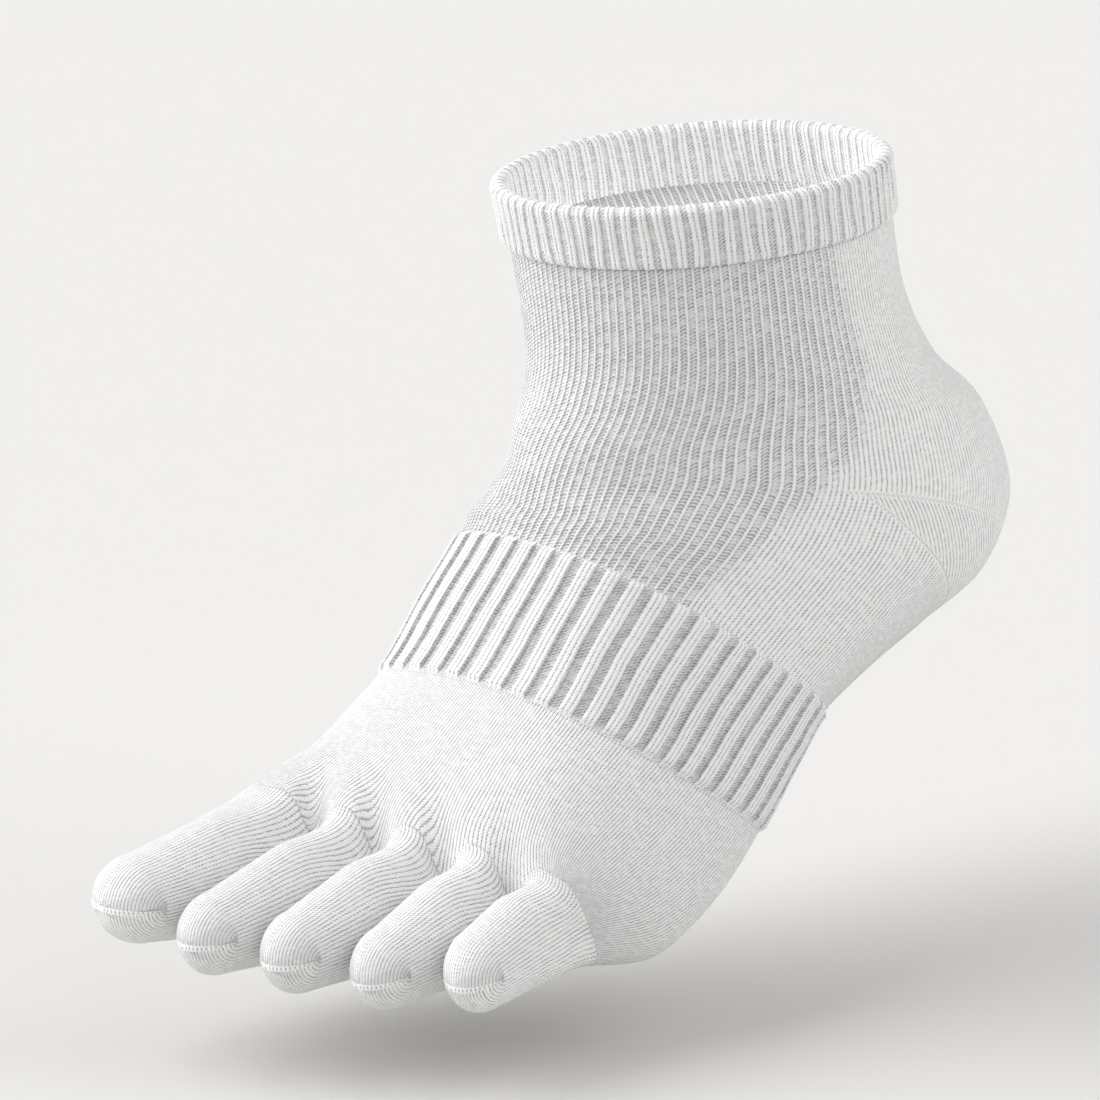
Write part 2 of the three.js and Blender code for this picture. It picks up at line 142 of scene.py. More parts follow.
# Sections of the foot: front, back (shares of its length), front drop, back drop (shares of its drop), half width,
# shift, lean, roll (shares of its width), sag (share of its drop), yaw in degrees, square and belly.
FOOT_ROWS = (
    (0.184, 0.35, 0.0, 0.065, 0.41, 0.0, 0.0, 0.0, 0.02, 0, 0.0, 0.0),
    (0.193, 0.397, 0.055, 0.27, 0.41, 0.0, 0.0, 0.0, 0.027, 0, 0.0, 0.0),
    (0.197, 0.35, 0.09, 0.433, 0.402, 0.0, 0.0, 0.0, 0.027, 2, 0.02, 0.0),
    (0.2, 0.252, 0.12, 0.513, 0.402, 0.0, 0.0, 0.0, 0.018, 4, 0.03, 0.02),
    (0.204, 0.163, 0.147, 0.57, 0.402, 0.0, 0.01, 0.0, 0.01, 6, 0.04, 0.04),
    (0.208, 0.082, 0.18, 0.63, 0.402, 0.012, 0.024, 0.0, 0.0, 8, 0.04, 0.06),
    (0.24, 0.017, 0.295, 0.685, 0.427, 0.024, 0.037, 0.0, -0.01, 9, 0.05, 0.08),
    (0.273, -0.05, 0.41, 0.762, 0.457, 0.043, 0.05, 0.0, -0.018, 10, 0.05, 0.09),
    (0.303, -0.13, 0.482, 0.846, 0.48, 0.06, 0.06, 0.0, -0.018, 12, 0.06, 0.1),
    (0.328, -0.202, 0.55, 0.91, 0.492, 0.067, 0.06, 0.01, -0.01, 15, 0.07, 0.1),
    (0.349, -0.262, 0.615, 0.95, 0.5, 0.058, 0.045, 0.035, 0.0, 19, 0.09, 0.06),
    (0.362, -0.32, 0.67, 0.94, 0.492, 0.042, 0.005, 0.06, 0.0, 22, 0.11, 0.0),
)

# Where the fine ribs of the leg turn plain: row, angle from the front in degrees.
RIB_FADE = (
    (1.0, 94.0), (1.93, 100.0), (2.65, 101.0), (3.35, 96.0), (4.28, 88.0),
    (4.7, 81.0), (5.3, 75.0), (5.95, 71.0), (7.05, 70.0), (9.0, 65.0),
)

# How the wales wind along the sock: row, turn towards the big toe, and spread away from the front, in degrees.
WALE_TURNS = (
    (1.0, 0.0, 0.0), (2.2, -2.6, 6.0), (3.0, -3.6, 4.8), (4.0, -4.9, 1.6), (5.0, -6.4, 0.8),
    (6.0, -7.4, 2.4), (7.0, -8.3, 5.4), (8.0, -9.2, 8.0), (9.0, -10.3, 9.0), (11.2, -20.3, 9.0),
    (12.5, -24.8, 9.0), (13.5, -28.8, 9.0), (14.2, -32.8, 9.0), (15.0, -37.8, 9.0),
)


@dataclass(frozen=True)
class Form:
    """The smooth outside of the sock, as a function of the row s along the tube and the angle round it.

    The angle is 0 at the front or top, a quarter turn at the little-toe side and half a turn at the back or sole.
    Furrows are width shares, the ends of zones and the gusset's top, dip and rise are rows, and the gusset's point
    and level are degrees from the front.
    """

    opening_width: float = 75.0
    opening_depth: float = 90.0
    leg_height: float = 54.0
    foot_length: float = 238.0
    foot_width: float = 82.0
    foot_drop: float = 112.0
    wall: float = 1.4
    furrow_depth: float = 9.0
    furrow_width: float = 7.0
    furrow_rows: float = 2.2
    furrows: tuple[float, ...] = (-0.5, -0.12, 0.27, 0.67)
    cuff_end: float = 1.0
    gusset_top: float = 5.1
    gusset_dip: float = 0.5
    gusset_rise: float = 1.5
    gusset_point: float = 88.0
    gusset_level: float = 80.0
    band_start: float = 9.0
    band_end: float = 11.2
    toe_roots: float = 15.0
    table: Array = field(init=False)

    def __post_init__(self) -> None:
        """Turns the tables of shares into millimetres, with one mirrored row added at each end."""
        leg = np.zeros((len(LEG_ROWS), len(Column)))
        shares = np.array(LEG_ROWS)
        heights, widths = slice(Column.FRONT_Z, Column.HALF), slice(Column.HALF, Column.SAG)
        leg[:, Column.FRONT] = -shares[:, 0] * self.opening_depth
        leg[:, Column.BACK] = shares[:, 1] * self.opening_depth
        leg[:, heights] = -shares[:, 2:4] * self.leg_height
        leg[:, Column.HALF] = shares[:, 4] * self.opening_width
        leg[:, Column.SAG] = shares[:, 5] * self.foot_drop
        foot = np.array(FOOT_ROWS, dtype=float)
        foot[:, Column.FRONT] *= -self.foot_length
        foot[:, Column.BACK] *= self.foot_length
        foot[:, heights] = -self.leg_height - foot[:, heights] * self.foot_drop
        foot[:, widths] *= self.foot_width
        foot[:, Column.SAG] *= self.foot_drop
        foot[:, Column.YAW] = np.radians(foot[:, Column.YAW])
        rows = np.vstack([leg, foot])
        before = 2.0 * rows[:1] - rows[1:2]
        after = 2.0 * rows[-1:] - rows[-2:-1]
        object.__setattr__(self, "table", np.vstack([before, rows, after]))

    def rows(self, s: Array) -> Array:
        """Reads the table at fractional rows.

        The formula is a uniform Catmull-Rom curve: a cubic through each row whose slope there is half the difference
        of the rows on its two sides.

        Args:
            s: Rows, of any shape.

        Returns:
            The columns of the table along a new last axis.
        """
        last = len(self.table) - 3
        place = np.asarray(s, dtype=float)
        i = np.clip(np.floor(place).astype(int), 0, last - 1)
        t = (place - i)[..., None]
        a, b, c, d = (self.table[i + k] for k in range(4))
        linear = (c - a) * t
        squared = (2.0 * a - 5.0 * b + 4.0 * c - d) * t * t
        cubed = (3.0 * b - a - 3.0 * c + d) * t * t * t
        return 0.5 * (2.0 * b + linear + squared + cubed)

    def column(self, s: Array, column: Column) -> Array:
        """Reads one column of the table at rows s."""
        return self.rows(s)[..., column]

    def shares(self, square: Array, angle: Array) -> tuple[Array, Array]:
        """Height share, 1 at the top, and width share, 1 at the little-toe side.

        A section is a circle with a little of its third harmonic taken off, which squares its corners.

        Args:
            square: How square the section is.
            angle: Angles round it.

        Returns:
            The height shares and the width shares.
        """
        rise = (np.cos(angle) - square * np.cos(3.0 * angle)) / (1.0 - square)
        wide = (np.sin(angle) + square * np.sin(3.0 * angle)) / (1.0 - square)
        return rise, wide

    def skin(self, s: Array, angle: Array) -> Array:
        """The outside of the knit.

        A point is the middle of its section, plus its height share times the section's half height, plus its width
        share times the half width, turned by the section's yaw. Belly widens the underside, lean slants the section,
        sag lifts or drops its sides, roll lowers the little-toe side and the furrows between the toes are bell curves
        taken off the top and the sole.

        Args:
            s: Rows along the tube.
            angle: Angles round it, which broadcast with s.

        Returns:
            Points along a new last axis, in millimetres.
        """
        s, angle = np.broadcast_arrays(np.asarray(s, dtype=float), np.asarray(angle, dtype=float))
        row = np.moveaxis(self.rows(s), -1, 0)
        front, back, front_z, back_z, half, shift, lean, roll, sag, yaw, square, belly = row
        rise, wide = self.shares(square, angle)
        across = shift + half * wide * (1.0 - belly * rise) - lean * rise
        start = smooth((s - self.toe_roots + self.furrow_rows) / self.furrow_rows)
        away = self.from_furrows(wide, half)
        bell = np.minimum(np.exp(-4.0 * away * away).sum(axis=-1), 1.0)
        furrow = self.furrow_depth * start * start * bell * np.minimum(np.abs(rise) * 1.6, 1.0) * np.sign(rise)
        x = across * np.cos(yaw)
        y = (front + back) / 2 + (front - back) / 2 * rise + across * np.sin(yaw)
        z = (front_z + back_z) / 2 + (front_z - back_z) / 2 * rise
        z = z + sag * wide * wide - roll * wide * (1.0 + rise) / 2 - furrow
        return np.stack([x, y, z], axis=-1)

    def from_furrows(self, wide: Array, half: Array) -> Array:
        """The way across from each furrow in furrow widths, along a new last axis."""
        return (wide[..., None] - np.array(self.furrows)) * half[..., None] / self.furrow_width

    def outward(self, s: Array, angle: Array) -> Array:
        """The direction straight out of the skin: the step along the tube crossed with the step round it."""
        d = 0.02
        along = self.skin(s + d, angle) - self.skin(s - d, angle)
        round_it = self.skin(s, angle + d) - self.skin(s, angle - d)
        return unit(np.cross(along, round_it))

    def above(self, s: Array, angle: Array, height: Array) -> Array:
        """Points a height above the skin, or below it where the height is negative."""
        s, angle, height = np.broadcast_arrays(s, angle, height)
        return self.skin(s, angle) + self.outward(s, angle) * height[..., None]

    def winding(self, s: Array, column: Wind) -> Array:
        """Reads the wales' turn or spread at rows s, in degrees.

        It is the table's straight run from row to row, averaged over a row and a half so that no wale has a kink.
        """
        table = np.array(WALE_TURNS)
        shifts = np.linspace(-0.75, 0.75, 13)
        return np.mean([np.interp(s + shift, table[:, 0], table[:, column]) for shift in shifts], axis=0)

    def wound(self, s: Array, start: float) -> Array:
        """How far the wales turn from the row start to rows s, in radians."""
        return np.radians(self.winding(s, Wind.TURN) - self.winding(np.array(start), Wind.TURN))

    def along_wale(self, s: Array, start: Array) -> Array:
        """The angle that a wale has come to at row s, from the angle where it leaves the cuff.

        The angle is the start, plus the turn, plus the spread times one less the cosine of the start, with the sign of
        the side it is on; the spread fades out towards the back.

        Args:
            s: Rows, which broadcast with start.
            start: Angles at the cuff.

        Returns:
            Angles at those rows.
        """
        side = (np.degrees(start) + 180.0) % 360.0 - 180.0
        fade = smooth((180.0 - np.abs(side)) / 70.0)
        reach = np.sign(side) * (1.0 - np.cos(start)) * fade
        return start + np.radians(self.winding(s, Wind.TURN) + self.winding(s, Wind.SPREAD) * reach)

    def turn(self, angle: Array) -> Array:
        """Degrees from the front, 0 to 180, the same on both sides."""
        return np.abs((np.degrees(angle) + 540.0) % 360.0 - 180.0)

    def gusset_upper(self, angle: Array) -> Array:
        """The row of the leg's lower edge: level in front and a little lower at the back of the heel."""
        level = self.gusset_level
        return self.gusset_top + self.gusset_dip * smooth((self.turn(angle) - level) / (180.0 - level))

    def gusset_lower(self, angle: Array) -> Array:
        """The row of the gusset's lower edge: it parts from the upper edge at a point and is lowest at the back."""
        share = np.maximum((self.turn(angle) - self.gusset_point) / (180.0 - self.gusset_point), 0.0)
        return self.gusset_upper(angle) + self.gusset_rise * np.sin(np.pi / 2 * share**0.8)

    def ribbing(self, s: Array, angle: Array) -> Array:
        """How much of the fine ribbing shows: 1 in front and 0 past the line where it turns plain."""
        rows, limits = np.array(RIB_FADE).T
        limit = np.interp(s, rows, limits)
        return smooth((limit - self.turn(angle)) / 8.0 + 0.5)

    def by_length(self, s: float, shares: Array) -> Array:
        """The angles at shares of the way round the section at row s, measured along the skin."""
        angles = np.linspace(0.0, 2.0 * np.pi, 721)
        run = way(self.skin(np.full_like(angles, s), angles))
        return np.interp(shares * run[-1], run, angles)

    def angle_across(self, share: float, on_top: bool) -> float:
        """The angle at which the section at the toe roots reaches a width share, on its top or on its sole."""
        angles = np.linspace(-np.pi / 2, np.pi / 2, 4001)
        _, wide = self.shares(self.column(self.toe_roots, Column.SQUARE), angles)
        angle = float(np.interp(share, wide, angles))
        return angle if on_top else math.pi - angle


@dataclass
class Cloth:
    """A closed shell of knit as a grid: rings of points, each the same number of points round.

    Attributes:
        points: Rings by columns by three, in millimetres, rings running along the outside first.
        knit: Wales and courses, one more each way than the points, so that the seams of the grid stay closed.
        marks: Named values, one for each point.
        poles: First and last point where the rings close on a point; without them the last ring joins the first.
        pole_knit: Wales and courses at the two poles.
        flat_rings: Rings whose strip to the next ring is an end wall, shaded flat.
        flat_columns: Columns whose strip to the next column is an end wall, shaded flat.
    """

    points: Array
    knit: Array
    marks: dict[str, Array]
    poles: Array | None = None
    pole_knit: Array | None = None
    flat_rings: tuple[int, ...] = ()
    flat_columns: tuple[int, ...] = ()

    def faces(self) -> tuple[Array, Array, Array]:
        """Corners of the faces, the knit coordinates of each corner, and which faces are shaded smooth.

        Returns:
            Four point numbers a face, their coordinates, and one truth value a face.
        """
        rings, count = self.points.shape[:2]
        strips = rings - 1 if self.poles is not None else rings
        i, j = np.meshgrid(np.arange(strips), np.arange(count), indexing="ij")
        i, j = i.ravel(), j.ravel()
        step_i = np.stack([i, i + 1, i + 1, i], axis=1)
        step_j = np.stack([j, j, j + 1, j + 1], axis=1)
        corners = (step_i % rings) * count + step_j % count
        knit = self.knit[step_i, step_j]
        rounded = ~(np.isin(i, self.flat_rings) | np.isin(j, self.flat_columns))
        return corners, knit, rounded

    def pole_faces(self) -> tuple[Array, Array]:
        """The triangles that close the first and the last ring on their poles, and their knit coordinates."""
        rings, count = self.points.shape[:2]
        j = np.arange(count)
        first = np.full(count, rings * count)
        start = np.stack([first, j, (j + 1) % count], axis=1)
        end = np.stack([first + 1, (rings - 1) * count + (j + 1) % count, (rings - 1) * count + j], axis=1)
        first_pole, last_pole = (np.broadcast_to(pole, (count, 2)) for pole in self.pole_knit)
        start_knit = np.stack([first_pole, self.knit[0, j], self.knit[0, j + 1]], axis=1)
        end_knit = np.stack([last_pole, self.knit[rings - 1, j + 1], self.knit[rings - 1, j]], axis=1)
        return np.vstack([start, end]), np.concatenate([start_knit, end_knit])

    def mesh(self, name: str) -> bpy.types.Object:
        """Makes the Blender object, at the origin, in metres.

        Args:
            name: The piece's name.

        Returns:
            The new object, linked into the scene.
        """
        points = self.points.reshape(-1, 3)
        quads, quad_knit, rounded = self.faces()
        loops = quads.ravel()
        knit = quad_knit.reshape(-1, 2)
        sizes = np.full(len(quads), 4)
        if self.poles is not None:
            points = np.vstack([points, self.poles])
            triangles, triangle_knit = self.pole_faces()
            loops = np.concatenate([loops, triangles.ravel()])
            knit = np.vstack([knit, triangle_knit.reshape(-1, 2)])
            sizes = np.concatenate([sizes, np.full(len(triangles), 3)])
            rounded = np.concatenate([rounded, np.full(len(triangles), not self.flat_columns)])
        mesh = bpy.data.meshes.new(name)
        mesh.vertices.add(len(points))
        mesh.vertices.foreach_set("co", (points * MM).astype(np.float32).ravel())
        mesh.loops.add(len(loops))
        mesh.loops.foreach_set("vertex_index", loops.astype(np.int32))
        mesh.polygons.add(len(sizes))
        starts = np.concatenate([[0], np.cumsum(sizes)[:-1]])
        mesh.polygons.foreach_set("loop_start", starts.astype(np.int32))
        mesh.update(calc_edges=True)
        layer = mesh.uv_layers.new(name="knit")
        layer.data.foreach_set("uv", knit.astype(np.float32).ravel())
        for mark, values in self.marks.items():
            flat = values.reshape(self.points.shape[0] * self.points.shape[1], -1)
            if self.poles is not None:
                flat = np.vstack([flat, flat[:1], flat[-1:]])
            vector = flat.shape[1] == 3
            attribute = mesh.attributes.new(mark, "FLOAT_VECTOR" if vector else "FLOAT", "POINT")
            attribute.data.foreach_set("vector" if vector else "value", flat.astype(np.float32).ravel())
        mesh.polygons.foreach_set("use_smooth", rounded)
        mesh.validate()
        return link(name, mesh)


class Graph:
    """Builds a material's nodes from short calls."""

    def __init__(self, name: str) -> None:
        """Starts a material with only its output node."""
        self.material = bpy.data.materials.new(name)
        self.material.use_nodes = True
        self.tree = self.material.node_tree
        self.tree.nodes.clear()

    def node(self, kind: str, **settings: object) -> bpy.types.Node:
        """Adds a node and sets its properties."""
        node = self.tree.nodes.new(kind)
        for key, value in settings.items():
            setattr(node, key, value)
        return node

    def feed(self, socket: Socket, value: object) -> None:
        """Links a socket to an input, or sets the input to a number or colour."""
        if isinstance(value, Socket):
            self.tree.links.new(value, socket)
        else:
            socket.default_value = value

    def math(self, operation: str, *values: object, clamp: bool = False) -> Socket:
        """One step of arithmetic on sockets or numbers."""
        node = self.node("ShaderNodeMath", operation=operation, use_clamp=clamp)
        for socket, value in zip(node.inputs, values):
            self.feed(socket, value)
        return node.outputs[0]

    def times(self, first: object, second: object) -> Socket:
        """The product of two values."""
        return self.math("MULTIPLY", first, second)

    def scaled(self, value: object, factor: object, plus: object) -> Socket:
        """A value times a factor, plus another value."""
        return self.math("MULTIPLY_ADD", value, factor, plus)

    def rest(self, share: object) -> Socket:
        """One less a share."""
        return self.math("SUBTRACT", 1.0, share)

    def mark(self, name: str) -> Socket:
        """Reads a number that the mesh carries at its points."""
        return self.node("ShaderNodeAttribute", attribute_name=name).outputs["Fac"]

    def noise(self, place: Socket, scale: float, detail: float) -> bpy.types.Node:
        """Adds soft noise at a place, with so many spots to the metre and so much detail."""
        node = self.node("ShaderNodeTexNoise", noise_dimensions="3D")
        self.feed(node.inputs["Vector"], place)
        self.feed(node.inputs["Scale"], scale)
        self.feed(node.inputs["Detail"], detail)
        return node

    def parts(self, kind: str, value: Socket) -> list[Socket]:
        """Takes a vector or a colour apart into its three numbers."""
        node = self.node(kind)
        self.feed(node.inputs[0], value)
        return list(node.outputs[:3])

    def mix(self, share: object, first: object, second: object) -> Socket:
        """First where the share is 0, second where it is 1."""
        node = self.node("ShaderNodeMix", data_type="FLOAT")
        for socket, value in zip(node.inputs[:4], (share, None, first, second)):
            if value is not None:
                self.feed(socket, value)
        return node.outputs[0]

    def blend(self, share: object, first: object, second: object) -> Socket:
        """First colour where the share is 0, second colour where it is 1."""
        node = self.node("ShaderNodeMix", data_type="RGBA")
        self.feed(node.inputs["Factor"], share)
        self.feed(node.inputs[6], first)
        self.feed(node.inputs[7], second)
        return node.outputs[2]

    def ramp(self, value: object, low: float, high: float) -> Socket:
        """Eases from 0 at low to 1 at high."""
        node = self.node("ShaderNodeMapRange", interpolation_type="SMOOTHSTEP")
        self.feed(node.inputs["Value"], value)
        node.inputs["From Min"].default_value = low
        node.inputs["From Max"].default_value = high
        return node.outputs[0]

    def wave(self, turns: object) -> Socket:
        """A wave from 0 to 1, highest where turns is whole."""
        return self.scaled(self.math("COSINE", self.times(turns, 2.0 * math.pi)), 0.5, 0.5)


@dataclass(frozen=True)
class Knit:
    """A finish of white cotton knit, with every stitch in relief and painted shade in the gaps between stitches.

    Attributes:
        slot: The record's material slot.
        period: Wales in one rib.
        raised: Wales of a rib that are knit stitches; the others are sunken purl stitches.
        hatch: How far a course slants from one side of a wale to the other, in courses.
        relief: Height of the stitches in millimetres.
        shade: How dark the painted shade in the gaps between stitches is.
        white: Colour of the yarn.
        shade_tint: What the yarn's colour is times by in the darkest painted shade of a gap.
        sway: How far stitches stray at random, in wales and in courses.
        drift_scale: Spots to the metre of that straying.
        fuzz_scale: Spots to the metre of the fine hair of the yarn.
        patch_scale: Spots to the metre of the cloth's slow change in tone.
    """

    slot: Slot
    period: int = 2
    raised: int = 1
    hatch: float = 0.0
    relief: float = 0.26
    shade: float = 0.95
    white: Colour = (0.93, 0.928, 0.925, 1.0)
    shade_tint: tuple[float, ...] = (0.42, 0.425, 0.44)
    sway: tuple[float, float] = (0.45, 1.2)
    drift_scale: float = 160.0
    fuzz_scale: float = 2600.0
    patch_scale: float = 45.0

    @property
    def name(self) -> str:
        """The material's name."""
        return f"{self.slot.value}_yarn"

    def places(self, g: Graph, place: Socket) -> list[Socket]:
        """Wales and courses at each spot of the cloth, with the stitches straying a little from their rows."""
        random = g.parts("ShaderNodeSeparateColor", g.noise(place, self.drift_scale, 2.0).outputs["Color"])
        counted = g.parts("ShaderNodeSeparateXYZ", g.node("ShaderNodeUVMap", uv_map="knit").outputs[0])
        return [
            g.scaled(g.math("SUBTRACT", share, 0.5), reach, count)
            for share, reach, count in zip(random, self.sway, counted)
        ]

    def stitches(self, g: Graph, u: Socket, v: Socket) -> tuple[Socket, ...]:
        """Height of the stitches, and how much painted shade each spot gets from the gaps between them, both from 0 to
        1.

        A knit stitch is a rounded column, one wale wide, crossed by v-shaped grooves, one a course, and parted down
        its middle by a cleft. A purl stitch is a low bump, one a course, and its gaps are wider. Painted shade darkens
        the gaps between stitches, the edges of the ribs and the purl stitches; each stitch's shade is darker or
        lighter at random, drawn from its wale and course.
        """
        cell = g.node("ShaderNodeCombineXYZ")
        wale = g.math("FLOOR", u)
        g.feed(cell.inputs[0], wale)
        g.feed(cell.inputs[1], g.math("FLOOR", v))
        chance = g.node("ShaderNodeTexWhiteNoise", noise_dimensions="2D")
        g.feed(chance.inputs["Vector"], cell.outputs[0])
        shade_jitter = g.scaled(chance.outputs["Value"], 1.5, 0.3)
        x = g.scaled(g.math("FRACT", u), 2.0, -1.0)
        side = g.math("ABSOLUTE", x)
        slanted = g.scaled(x, self.hatch, v)
        ribbing = g.mark("ribbing")
        in_rib = g.math("FLOORED_MODULO", g.math("ADD", wale, 0.25), float(self.period))
        purl = g.times(g.math("GREATER_THAN", in_rib, float(self.raised)), ribbing)
        groove = g.wave(g.scaled(side, 0.5, slanted))
        column = g.math("SQRT", g.math("SUBTRACT", 1.02, g.times(side, side)))
        column = g.times(column, g.scaled(groove, 0.3, 0.7))
        column = g.times(column, g.scaled(g.ramp(side, 0.0, 0.22), 0.22, 0.78))
        bumps = g.wave(g.scaled(g.wave(g.times(x, 0.5)), 0.15, slanted))
        height = g.mix(purl, column, g.times(bumps, 0.55))
        # Painted shade: darker in the gaps between stitches, along the edges of the ribs and over the sunken purl
        # stitches.
        gap = g.times(g.times(g.ramp(side, 0.4, 0.95), g.rest(g.times(groove, 0.85))), shade_jitter)
        edge = g.times(g.times(g.ramp(side, 0.4, 0.9), ribbing), 0.4)
        low = g.times(g.rest(bumps), g.scaled(g.ramp(side, 0.1, 0.8), 0.6, 0.4))
        low = g.scaled(g.times(low, shade_jitter), 1.1, 0.2)
        return height, g.mix(purl, g.math("MAXIMUM", gap, edge), low)

    def seamed(self, g: Graph, height: Socket, gap_shade: Socket) -> tuple[Socket, ...]:
        """Lays the seam over the stitches: a raised thread with a row of holes along it, darkened with painted shade.
        """
        mark = g.node("ShaderNodeAttribute", attribute_name="seam").outputs["Vector"]
        across, along, present = g.parts("ShaderNodeSeparateXYZ", mark)
        off = g.math("ABSOLUTE", across)
        near = g.times(g.rest(g.ramp(off, 0.45, 0.8)), present)
        # Painted shade in the holes of the seam.
        holes = g.times(g.rest(g.ramp(g.wave(along), 0.05, 0.5)), g.rest(g.ramp(off, 0.15, 0.5)))
        return g.mix(near, height, g.scaled(g.wave(along), 0.4, 0.55)), g.mix(near, gap_shade, holes)

    def material(self) -> bpy.types.Material:
        """Builds the material.

        Stitches and seams are relief, and painted shade darkens the gaps between stitches and the holes of the seam.
        Marks on the mesh say where ribs are, where a seam runs and how much painted shade a furrow or the foot of a
        rib gets.

        Returns:
            The finished material.
        """
        g = Graph(self.name)
        place = g.node("ShaderNodeTexCoord").outputs["Object"]
        height, gap_shade = self.seamed(g, *self.stitches(g, *self.places(g, place)))
        height = g.scaled(g.noise(place, self.fuzz_scale, 3.0).outputs["Fac"], 0.28, height)
        patch = g.noise(place, self.patch_scale, 4.0).outputs["Fac"]
        # Painted shade from the stitch gaps, the furrows and the feet of ribs darkens the yarn's colour towards the
        # shadow colour; a slow random tone is added on top.
        shade_and_tone = g.scaled(gap_shade, self.shade, g.times(g.mark("painted_shade"), 0.3))
        shade_and_tone = g.math("MULTIPLY_ADD", g.math("SUBTRACT", patch, 0.5), 0.08, shade_and_tone, clamp=True)
        shadow = (*(channel * shade_tint for channel, shade_tint in zip(self.white, self.shade_tint)), 1.0)
        relief = g.node("ShaderNodeBump")
        g.feed(relief.inputs["Strength"], 1.0)
        g.feed(relief.inputs["Distance"], self.relief * MM)
        g.feed(relief.inputs["Height"], height)
        shader = g.node("ShaderNodeBsdfPrincipled")
        settings = {
            "Base Color": g.blend(shade_and_tone, self.white, shadow),
            "Roughness": g.scaled(gap_shade, 0.08, 0.86),
            "Normal": relief.outputs[0],
            "Specular IOR Level": 0.22,
            "Sheen Weight": 0.18,
            "Sheen Roughness": 0.5,
        }
        for name, value in settings.items():
            g.feed(shader.inputs[name], value)
        g.feed(g.node("ShaderNodeOutputMaterial").inputs["Surface"], shader.outputs[0])
        return g.material


@dataclass
class Zone:
    """One zone of knit, which stands for one solid of the frame.

    Attributes:
        form: The sock's smooth outside.
        finish: The knit of this zone.
        node: The frame's solid that this zone stands for.
        wales: Wales round the whole tube.
        course: Height of one course in millimetres.
    """

    form: Form
    finish: Knit
    node: str = ""
    wales: int = 276
    course: float = 0.8

    def cloth(self) -> Cloth:
        """Works out the zone's shell. Each kind of zone has its own."""
        raise NotImplementedError

    def build(self) -> bpy.types.Object:
        """Makes the zone's piece, puts it in the place of its solid and dresses it.

        Returns:
            The finished piece.
        """
        piece = self.cloth().mesh(f"{self.node}_cloth")
        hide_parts(self.node)
        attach(piece, "root")
        self.dress(piece)
        return piece

    def dress(self, piece: bpy.types.Object) -> None:
        """Gives the piece its finish, made once for each slot."""
        material = bpy.data.materials.get(self.finish.name) or self.finish.material()
        piece.data.materials.append(material)


def knit_grid(u: Array, v: Array, wales_round: float = 0.0) -> Array:
    """Wales and courses, with the first column once more after the last, one whole turn of wales on."""
    u, v = np.broadcast_arrays(u, v)
    return np.stack([np.column_stack([u, u[:, :1] + wales_round]), np.column_stack([v, v[:, :1]])], axis=-1)


# A zone's far edge runs on under the next zone by LAP_ROWS rows, LAP_DEPTH millimetres deep, and shows LAP_COURSES
# courses there. A row of holes shows at HOLED_SEAM and a plain edge at FAINT_SEAM. FOOT_WALES go round the ball, which
# lies BALL_ROWS before the toe roots.
LAP_ROWS = 0.06
LAP_DEPTH = 0.2
LAP_COURSES = 0.7
FAINT_SEAM = 0.3
HOLED_SEAM = 0.6
FOOT_WALES = 300
BALL_ROWS = 2.5


def shell(form: Form, rows: Array, angles: Array, height: Array, wales: Array, courses: Array, wales_round: float,
          inner_rows: int, marks: dict[str, Array]) -> Cloth:
    """A closed tube of knit between two edges.

    The outside is the skin raised by the height. The inside is the skin lowered by the wall, with fewer rings, and the
    two meet at the edges. The far edge laps a hair under the next zone, so that no line shows between the two.

    Args:
        form: The sock's smooth outside.
        rows: Rows of the outside grid.
        angles: Angles of the outside grid.
        height: Height above the skin on the outside grid.
        wales: Wale numbers, for each column or on the whole outside grid.
        courses: Course numbers on the outside grid.
        wales_round: Wales in one whole turn.
        inner_rows: Rings of the inside.
        marks: Named values on the outside grid.

    Returns:
        The shell.
    """
    outside = form.above(rows, angles, height)
    lap = form.above(rows[-1:] + LAP_ROWS, angles[-1:], np.full((1, 1), -LAP_DEPTH))
    pick = np.linspace(len(rows) - 1, 0, inner_rows).round().astype(int)
    inside = form.above(rows[pick], angles[pick], np.full((inner_rows, 1), -form.wall))
    inner = 2.0 * courses[-1:] - courses[pick]
    v = np.vstack([courses, courses[-1:] + LAP_COURSES, inner, inner[-1:] + 2.0])
    grid = np.broadcast_to(wales, rows.shape)
    u = np.vstack([grid, grid[-1:], grid[pick], grid[:1]])
    knit = knit_grid(u, v, wales_round)
    extended = {name: np.concatenate([values, values[-1:], values[pick]]) for name, values in marks.items()}
    walls = (len(rows) - 1, len(rows), len(rows) + inner_rows)
    return Cloth(np.concatenate([outside, lap, inside]), knit, extended, flat_rings=walls)


def knit_marks(
    shape: tuple[int, int], ribbing: Values = 0.0, seam: Values = 0.0, painted_shade: Values = 0.0
) -> dict[str, Array]:
    """The marks that a finish reads: ribs, seam and painted shade. One number stands for a mark that is level all
    over.
    """
    return {
        "ribbing": np.broadcast_to(ribbing, shape),
        "seam": np.broadcast_to(seam, (*shape, 3)),
        "painted_shade": np.broadcast_to(painted_shade, shape),
    }


def edge_seam(distance: Array, along: Array, present: Values) -> Array:
    """A seam mark: distance from the line in millimetres, stitches along it, and how much of it shows."""
    return np.stack(np.broadcast_arrays(distance, along, present), axis=-1)


def foot_wales(form: Form, angles: Array) -> Array:
    """Wale numbers at angles round the toe roots, evenly spaced by length round the ball of the foot.

    Args:
        form: The sock's smooth outside.
        angles: Angles at the toe roots, rising; they may run past a whole turn.

    Returns:
        Wale numbers, which rise with the angle.
    """
    turns = np.linspace(-2.0 * np.pi, 4.0 * np.pi, 2161)
    ball = form.toe_roots - BALL_ROWS
    run = way(form.skin(np.full_like(turns, ball), turns + form.wound(np.array(ball), form.toe_roots)))
    return np.interp(angles, turns, run * (3.0 * FOOT_WALES / run[-1]) - FOOT_WALES)


